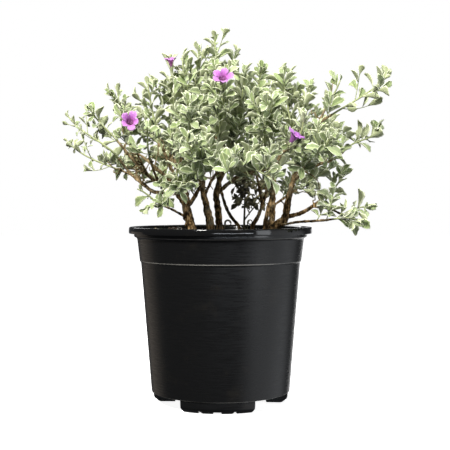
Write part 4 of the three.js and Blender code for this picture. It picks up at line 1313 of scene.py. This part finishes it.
def planShoot(spray, root, ahead):
    # a shoot's run and its leaves
    s, extra = shoots, spray["extra"]
    way = leaning(ahead, math.radians(s["spread"]), extra.between(0, math.tau))
    length = extra.between(*s["length"])
    path = arched(root, way, length, s["rise"])
    count = int(length / s["pitch"]) + s["extra"]
    phase = extra.between(0, math.tau)
    plans = []
    for i in range(count):
        at = s["lastRoot"] - s["run"] * i / (count - 1)
        opened = s["upright"] + s["open"] * min(1, i / s["opening"])
        grown = min(1, s["young"] + s["growing"] * i)
        plans.append(strayed({
            "root": path(at), "stalk": unit(path(at) - path(at - 0.05)), "turn": phase + i * goldenAngle,
            "spread": math.radians(opened + extra.between(*s["vary"])),
            "length": leafSize["length"] * grown * extra.between(*s["lengths"]),
            "width": leafSize["width"] * extra.between(*s["widths"]),
            "roll": extra.between(-s["roll"], s["roll"]),
        }, spray, s["tone"]))
    return tubeRun([path(i / 4) for i in range(5)], s["radii"]), plans


def addCalyx(bm, bloom, twig, dice):
    # the cup's narrow sepals, and the run of the stalk and cup that hold a bloom
    c = calyxForm
    base, aim = bloomPose(bloom)[:2]
    cup = base - aim * (c["length"] + growth["gap"])
    foot = twig["path"](bloom["from"])
    bend = cup - aim * c["bend"]
    for i in range(c["sepals"]):
        turn = i * math.tau / c["sepals"]
        addLeaf(bm, {
            "root": cup + aim * c["sepalRoot"][0] + sideways(aim, turn) * c["sepalRoot"][1], "stalk": aim,
            "turn": turn, "spread": math.radians(c["sepalSpread"]), "length": c["sepalLength"],
            "width": c["sepalWidth"], "roll": 0.0, "tone": c["tone"], "nearBloom": True,
        }, dice)
    return tubeRun([foot, foot * 0.35 + bend * 0.65, bend, cup, cup + aim * c["length"] * 0.5, base],
                   [c["stalk"], c["stalk"], c["stalk"], c["base"], c["mouth"] * 0.85, c["mouth"]])


def makeSpray(order, name, limb, twigs):
    seed = growth["seed"] * (order + 1)
    extra = Dice(seed + 2)  # for the leaves that are added here
    lift = 0 if hangs(limb) else foliage["lift"]
    spray = {**usualHabit, **habits.get(name, {}), "extra": extra, "lift": lift}
    plans = twigLeaves(spray, twigs, Dice(seed + 1))
    runs = [twigRun(twig) for twig in twigs]
    for root, ahead in shootStarts(spray, limb, twigs[0]):
        run, shootPlans = planShoot(spray, root, ahead)
        runs.append(run)
        plans += shootPlans
    bm = leafyStart()
    for plan in plans:
        tip = leafMatrix(plan)[1]
        if tip[2] > spray["high"]:
            continue
        inside = fillsOpening(tip) or fillsOpening((tip + plan["root"]) / 2)
        if inside and extra.next() > foliage["openKept"]:
            continue
        dry = extra.next() < spray["dry"] and plan.get("at", 0) < foliage["dryTo"]
        if dry:
            plan["length"] *= foliage["drySize"]
            plan["stray"] = plan["stray"] - up * foliage["dryDroop"]
        addLeaf(bm, plan, extra, 2 if dry else 0)
    if "bloom" in limb:
        runs.append(addCalyx(bm, limb["bloom"], twigs[0], extra))
    leafFaces = len(bm.faces)
    bm.from_mesh(tubes(name + "Twigs", runs, 1))
    finishFaces(bm, leafFaces, 1)
    mesh = closed(bm, name + "Spray")
    newPiece(name + "Spray", mesh, ["leafFelt", "youngTwig", "tanLeaf"], "leaf", "spray_" + name)
    return len(plans)


total = sum(makeSpray(order, name, limb, sprays[name]) for order, (name, limb) in enumerate(limbs))
print("leaves planned:", total)

# The blooms.
petals = {
    "rings": (
        (1.7, 0.0), (2.5, 3.0), (3.9, 6.2), (4.9, 8.2), (6.8, 10.2), (9.2, 11.6), (11.2, 12.4), (12.4, 12.3),
    ),
    "segments": 80, "throat": 3, "notch": 0.45, "lobe": 0.36, "thickness": 0.35, "ruffle": 0.6,
    "ruffles": 15, "lobes": 5, "lobeSizes": (0.84, 1.12), "lobeDroops": (-1.6, 1.2), "crown": (0.8, 0.7),
    "cleft": 1.4,
}
stamens = {
    "count": 4, "turn": 0.5, "foot": (0.8, 0.6), "head": (1.9, 8.2), "uneven": 0.6, "radii": (0.22, 0.18),
    "knob": 0.6, "flat": 0.7,
}


def petalRings(bm):
    # the plain funnel, as the rings of its verts from the foot out
    p = petals
    bmesh.ops.create_circle(bm, cap_ends=True, segments=p["segments"], radius=p["rings"][0][0])
    edges = [e for e in bm.edges if e.is_boundary]
    rings = [bm.verts[:]]
    for radius, height in p["rings"][1:]:
        made = bmesh.ops.extrude_edge_only(bm, edges=edges)["geom"]
        edges = [e for e in made if isinstance(e, bmesh.types.BMEdge) and e.is_boundary]
        rings.append(onlyVerts(made))
        for v in rings[-1]:
            angle = math.atan2(v.co.y, v.co.x)
            v.co = (radius * math.cos(angle), radius * math.sin(angle), height)
    return rings


def addStamens(bm):
    s = stamens
    for i in range(s["count"]):
        angle = i * math.tau / s["count"] + s["turn"]
        cos, sin = math.cos(angle), math.sin(angle)
        foot, head = (Vector((r * cos, r * sin, z)) for r, z in (s["foot"], s["head"]))
        head.z += s["uneven"] * (i % 2)
        long = head - foot
        made = bmesh.ops.create_cone(bm, cap_ends=True, segments=6, radius1=s["radii"][0],
                                     radius2=s["radii"][1], depth=long.length)["verts"]
        lean = long.to_track_quat("Z", "Y").to_matrix().to_4x4()
        bmesh.ops.transform(bm, matrix=Matrix.Translation((foot + head) / 2) @ lean, verts=made)
        knob = bmesh.ops.create_icosphere(bm, subdivisions=1, radius=s["knob"])["verts"]
        flat = Matrix.Diagonal((1, 1, s["flat"], 1))
        bmesh.ops.transform(bm, matrix=Matrix.Translation(head) @ flat, verts=knob)


def makeBloomMesh(dice, shadeAmount):
    p = petals
    phase = dice.between(0, 1.0)
    lobes = [(dice.between(*p["lobeSizes"]), dice.between(*p["lobeDroops"])) for _ in range(p["lobes"])]
    bm = bmesh.new()
    out = bm.verts.layers.float.new("petalOut")
    turn = bm.verts.layers.float.new("petalTurn")
    deep = bm.verts.layers.float.new("petalShade")
    rings = petalRings(bm)
    top = len(rings) - 1
    for row, ring in enumerate(rings):
        spread = max(0, (row - p["throat"]) / (top - p["throat"]))
        for v in ring:
            angle = math.atan2(v.co.y, v.co.x)
            v[out], v[turn], v[deep] = row / top, angle, shadeAmount
            size, droop = lobes[round(angle / (math.tau / p["lobes"])) % p["lobes"]]
            lobe = abs(math.cos(p["lobes"] / 2 * angle)) ** p["lobe"]
            reach = (1 - (1 - p["notch"]) * (1 - lobe) * spread) * (1 + (size - 1) * spread * lobe)
            ruffle = p["ruffle"] * math.sin(angle * p["ruffles"] + phase * 7) * spread ** 2
            crown = p["crown"][0] * (lobe - p["crown"][1]) * spread
            v.co.x *= reach
            v.co.y *= reach
            v.co.z += ruffle + crown + (droop * lobe - p["cleft"] * (1 - lobe)) * spread
    bmesh.ops.recalc_face_normals(bm, faces=bm.faces[:])
    thickened(bm, p["thickness"])
    petalFaces = len(bm.faces)
    addStamens(bm)
    finishFaces(bm, 0, 0)
    finishFaces(bm, petalFaces, 1)
    return closed(bm, "bloom")


def makeBloom(order, bloom):
    base, aim, stretch, deep = bloomPose(bloom)
    mesh = makeBloomMesh(Dice(growth["seed"] + order), deep)
    turnTo = Vector((0, 0, 1)).rotation_difference(Vector(aim)).to_matrix().to_4x4()
    shape = Matrix.Diagonal((bloom["size"], bloom["size"], bloom["size"] * stretch, 1))
    mesh.transform(Matrix.Scale(mm, 4) @ Matrix.Translation(Vector(base)) @ turnTo @ shape)
    first, *words = bloom["name"].split("_")
    pieceName = first + "".join(word.capitalize() for word in words)
    newPiece(pieceName, mesh, ["petal", "anther"], "bloom", bloom["name"])


for order, bloom in blooms.items():
    makeBloom(order, bloom)
print("blooms made")

# The withered twig.
witheredTwig = {
    "sprigs": (
        {"route": ((31, 14, 182), (31, 14, 224), (32, 16, 258), (33, 18, 292)), "girth": (2, 1),
         "first": 0.68, "twigs": 14},
        {"route": ((31, 14, 238), (43, 10, 254), (55, 6, 268), (63, 4, 288)), "girth": (1, 0.6),
         "first": 0.48, "twigs": 8},
    ),
    "last": 0.99, "twigLength": (7, 18), "twigSpread": (35, 95), "twigBend": (-4, 3),
    "twigRadii": (0.5, 0.4, 0.3), "leaves": 4, "length": (9, 16), "widths": (0.7, 1.0), "spread": (30, 110),
    "roll": 1.4, "droop": (-0.6, 0.1),
}
curls = {  # wiry dry tendrils that stand in the soil: foot, reach, height and turns of each
    "each": (((5, -14, 214), 4.6, 21, 1.5), ((35, -6, 214), 3.4, 22, 1.2)),
    "steps": 24, "radius": 0.7, "closing": 0.4, "deep": 2,
}


def curlRun(foot, reach, tall, turns):
    # a stalk with a coil at its top
    x, y, z = foot
    places = [(x, y, z + tall * i / 4) for i in range(4)]
    for i in range(curls["steps"]):
        share = i / (curls["steps"] - 1)
        angle = math.pi - share * turns * math.tau
        size = reach * (1 - curls["closing"] * share)
        places.append((x + reach + size * math.cos(angle), y + curls["deep"] * share,
                       z + tall + size * math.sin(angle)))
    return tubeRun(places, [curls["radius"]] * len(places))


def addSprig(bm, sprig, dice):
    # a dead stem's twigs with their curled leaves, and the runs of all its wood
    w = witheredTwig
    stem = throughRoute(sprig["route"], 3)
    runs = [tubeRun([p for p, share in stem], [tapered(sprig["girth"], share) for p, share in stem])]
    for i in range(sprig["twigs"]):
        at = sprig["first"] + (w["last"] - sprig["first"]) * i / (sprig["twigs"] - 1)
        root = stem[int(at * (len(stem) - 1))][0]
        way = leaning(up, math.radians(dice.between(*w["twigSpread"])), i * goldenAngle)
        end = root + way * dice.between(*w["twigLength"])
        bend = (root + end) / 2 + up * dice.between(*w["twigBend"])
        runs.append(tubeRun((root, bend, end), w["twigRadii"]))
        for k in range(w["leaves"]):
            share = (k + 1) / w["leaves"]
            sag = (bend - (root + end) / 2) * (4 * share * (1 - share))
            addLeaf(bm, {
                "root": root * (1 - share) + end * share + sag, "stalk": way, "turn": i + k * goldenAngle,
                "spread": math.radians(dice.between(*w["spread"])), "length": dice.between(*w["length"]),
                "width": leafSize["width"] * dice.between(*w["widths"]),
                "roll": dice.between(-w["roll"], w["roll"]), "stray": up * dice.between(*w["droop"]),
            }, dice)
    return runs


def makeWithered():
    dice = Dice(growth["seed"])
    bm = leafyStart()
    runs = [run for sprig in witheredTwig["sprigs"] for run in addSprig(bm, sprig, dice)]
    runs += [curlRun(*curl) for curl in curls["each"]]
    bm.from_mesh(tubes("witheredWood", runs, 1))
    finishFaces(bm, 0, 0)
    newPiece("witheredTwig", closed(bm, "witheredTwig"), ["driedLeaf"], "withered", "withered_twig")


makeWithered()
scatter("fallenLeaves", oneFallen, "tanLeaf", "withered")
for mesh in leafMeshes:
    bpy.data.meshes.remove(mesh)
print("withered twig made")

# Floor, light and camera.
studio = {
    "floor": 6.0, "floorColour": (0.93, 0.93, 0.93, 1), "floorGlow": (0.91, 1.0), "glowSpan": (0.25, 1.6),
    "backdrop": 1.0, "room": (0.93, 0.96, 1, 1), "ambient": 0.09,
    "side": 1.15, "sideWay": (0.92, -0.12, -0.36), "sideSpan": (0.62, 0.95),
    "aim": (0, 0, 0.27), "tilt": -1.43, "lens": 80, "sensor": 36, "shiftX": 4.4 / 450,
}
lamps = {
    "key": {"place": (-0.9, -1.85, 1.8), "size": (0.42, 0.42), "power": 107, "colour": (1, 0.985, 0.94)},
    "top": {"place": (0.5, -0.4, 2.4), "size": (0.8, 0.8), "power": 42, "colour": (1, 1, 0.98)},
    "strip": {"place": (1.5, -1.15, 0.35), "size": (0.6, 1.0), "power": 9, "colour": (0.92, 0.96, 1)},
    "left": {"place": (-1.2, 0.9, -0.2), "size": (1.0, 0.8), "power": 0.8, "colour": (1, 0.84, 0.68)},
    "edge": {"place": (0.5, 1.8, -0.3), "size": (0.9, 1.2), "power": 4, "colour": (1, 1, 1)},
    "front": {"place": (0.5, -1.9, 0.17), "size": (1.7, 0.06), "power": 11, "colour": (0.86, 0.92, 1)},
    "behind": {"place": (-0.6, 2.2, 1.5), "size": (1.2, 1.0), "power": 22, "colour": (1, 1, 1)},
}
onlyGloss = ("left", "edge", "front")  # these are seen in glossy surfaces and light nothing else


def makeFloor():
    bm = bmesh.new()
    bmesh.ops.create_grid(bm, x_segments=1, y_segments=1, size=studio["floor"])
    mesh = closed(bm, "floor")
    floor = placed("floor", mesh)
    m = Finish("paleFloor")
    place = m.add("TexCoord").outputs["Object"]
    away = m.add("VectorMath", {0: place}, operation="LENGTH").outputs["Value"]
    # painted shade: the glow is a little dimmer near the pot, so the floor darkens towards it
    glow = m.fade(away, *studio["glowSpan"], *studio["floorGlow"])
    m.feed(m.shader, {
        "Base Color": studio["floorColour"], "Roughness": 0.9, "Emission Color": (1, 1, 1, 1),
        "Emission Strength": glow,
    })
    mesh.materials.append(m.owner)
    floor.visible_diffuse = False  # the floor's glow shows, and doesn't light the part from below
    floor.visible_glossy = False


def makeBackdrop():
    # a white backdrop for the camera, in a dim room with one bright side
    m = Finish("studio", bpy.data.worlds.new, "BACKGROUND")
    way = m.add("TexCoord").outputs["Generated"]
    sideWay = Vector(studio["sideWay"]).normalized()
    facing = m.add("VectorMath", {0: way, 1: sideWay}, operation="DOT_PRODUCT").outputs["Value"]
    strength = m.fade(facing, *studio["sideSpan"], studio["ambient"], studio["side"])
    m.feed(m.shader, {"Color": studio["room"], "Strength": strength})
    sheet = m.add("Background", {"Color": (1, 1, 1, 1), "Strength": studio["backdrop"]})
    seen = m.add("LightPath").outputs["Is Camera Ray"]
    both = m.add("MixShader", {"Fac": seen, 1: m.shader.outputs[0], 2: sheet.outputs[0]})
    out = next(n for n in m.tree.nodes if n.type == "OUTPUT_WORLD")
    m.feed(out, {"Surface": both.outputs[0]})
    bpy.context.scene.world = m.owner


def makeLamp(name, plan):
    lamp = bpy.data.lights.new(name, "AREA")
    lamp.shape = "RECTANGLE"
    lamp.size, lamp.size_y = plan["size"]
    lamp.energy = plan["power"]
    lamp.color = plan["colour"]
    holder = placed(name, lamp)
    holder.location = plan["place"]
    holder.visible_camera = False
    holder.visible_diffuse = name not in onlyGloss
    aim = Vector(studio["aim"]) - holder.location
    holder.rotation_euler = aim.to_track_quat("-Z", "Y").to_euler()


def makeCamera():
    lens = bpy.data.cameras.new("camera")
    lens.lens = studio["lens"]
    lens.sensor_width = studio["sensor"]
    lens.shift_x = studio["shiftX"]
    camera = placed("camera", lens)
    camera.location = eye * mm
    camera.rotation_euler = (math.radians(90 + studio["tilt"]), 0, 0)
    bpy.context.scene.camera = camera


makeFloor()
makeBackdrop()
for name, plan in lamps.items():
    makeLamp(name, plan)
makeCamera()
bpy.context.scene.view_settings.view_transform = "Standard"
print("studio made")
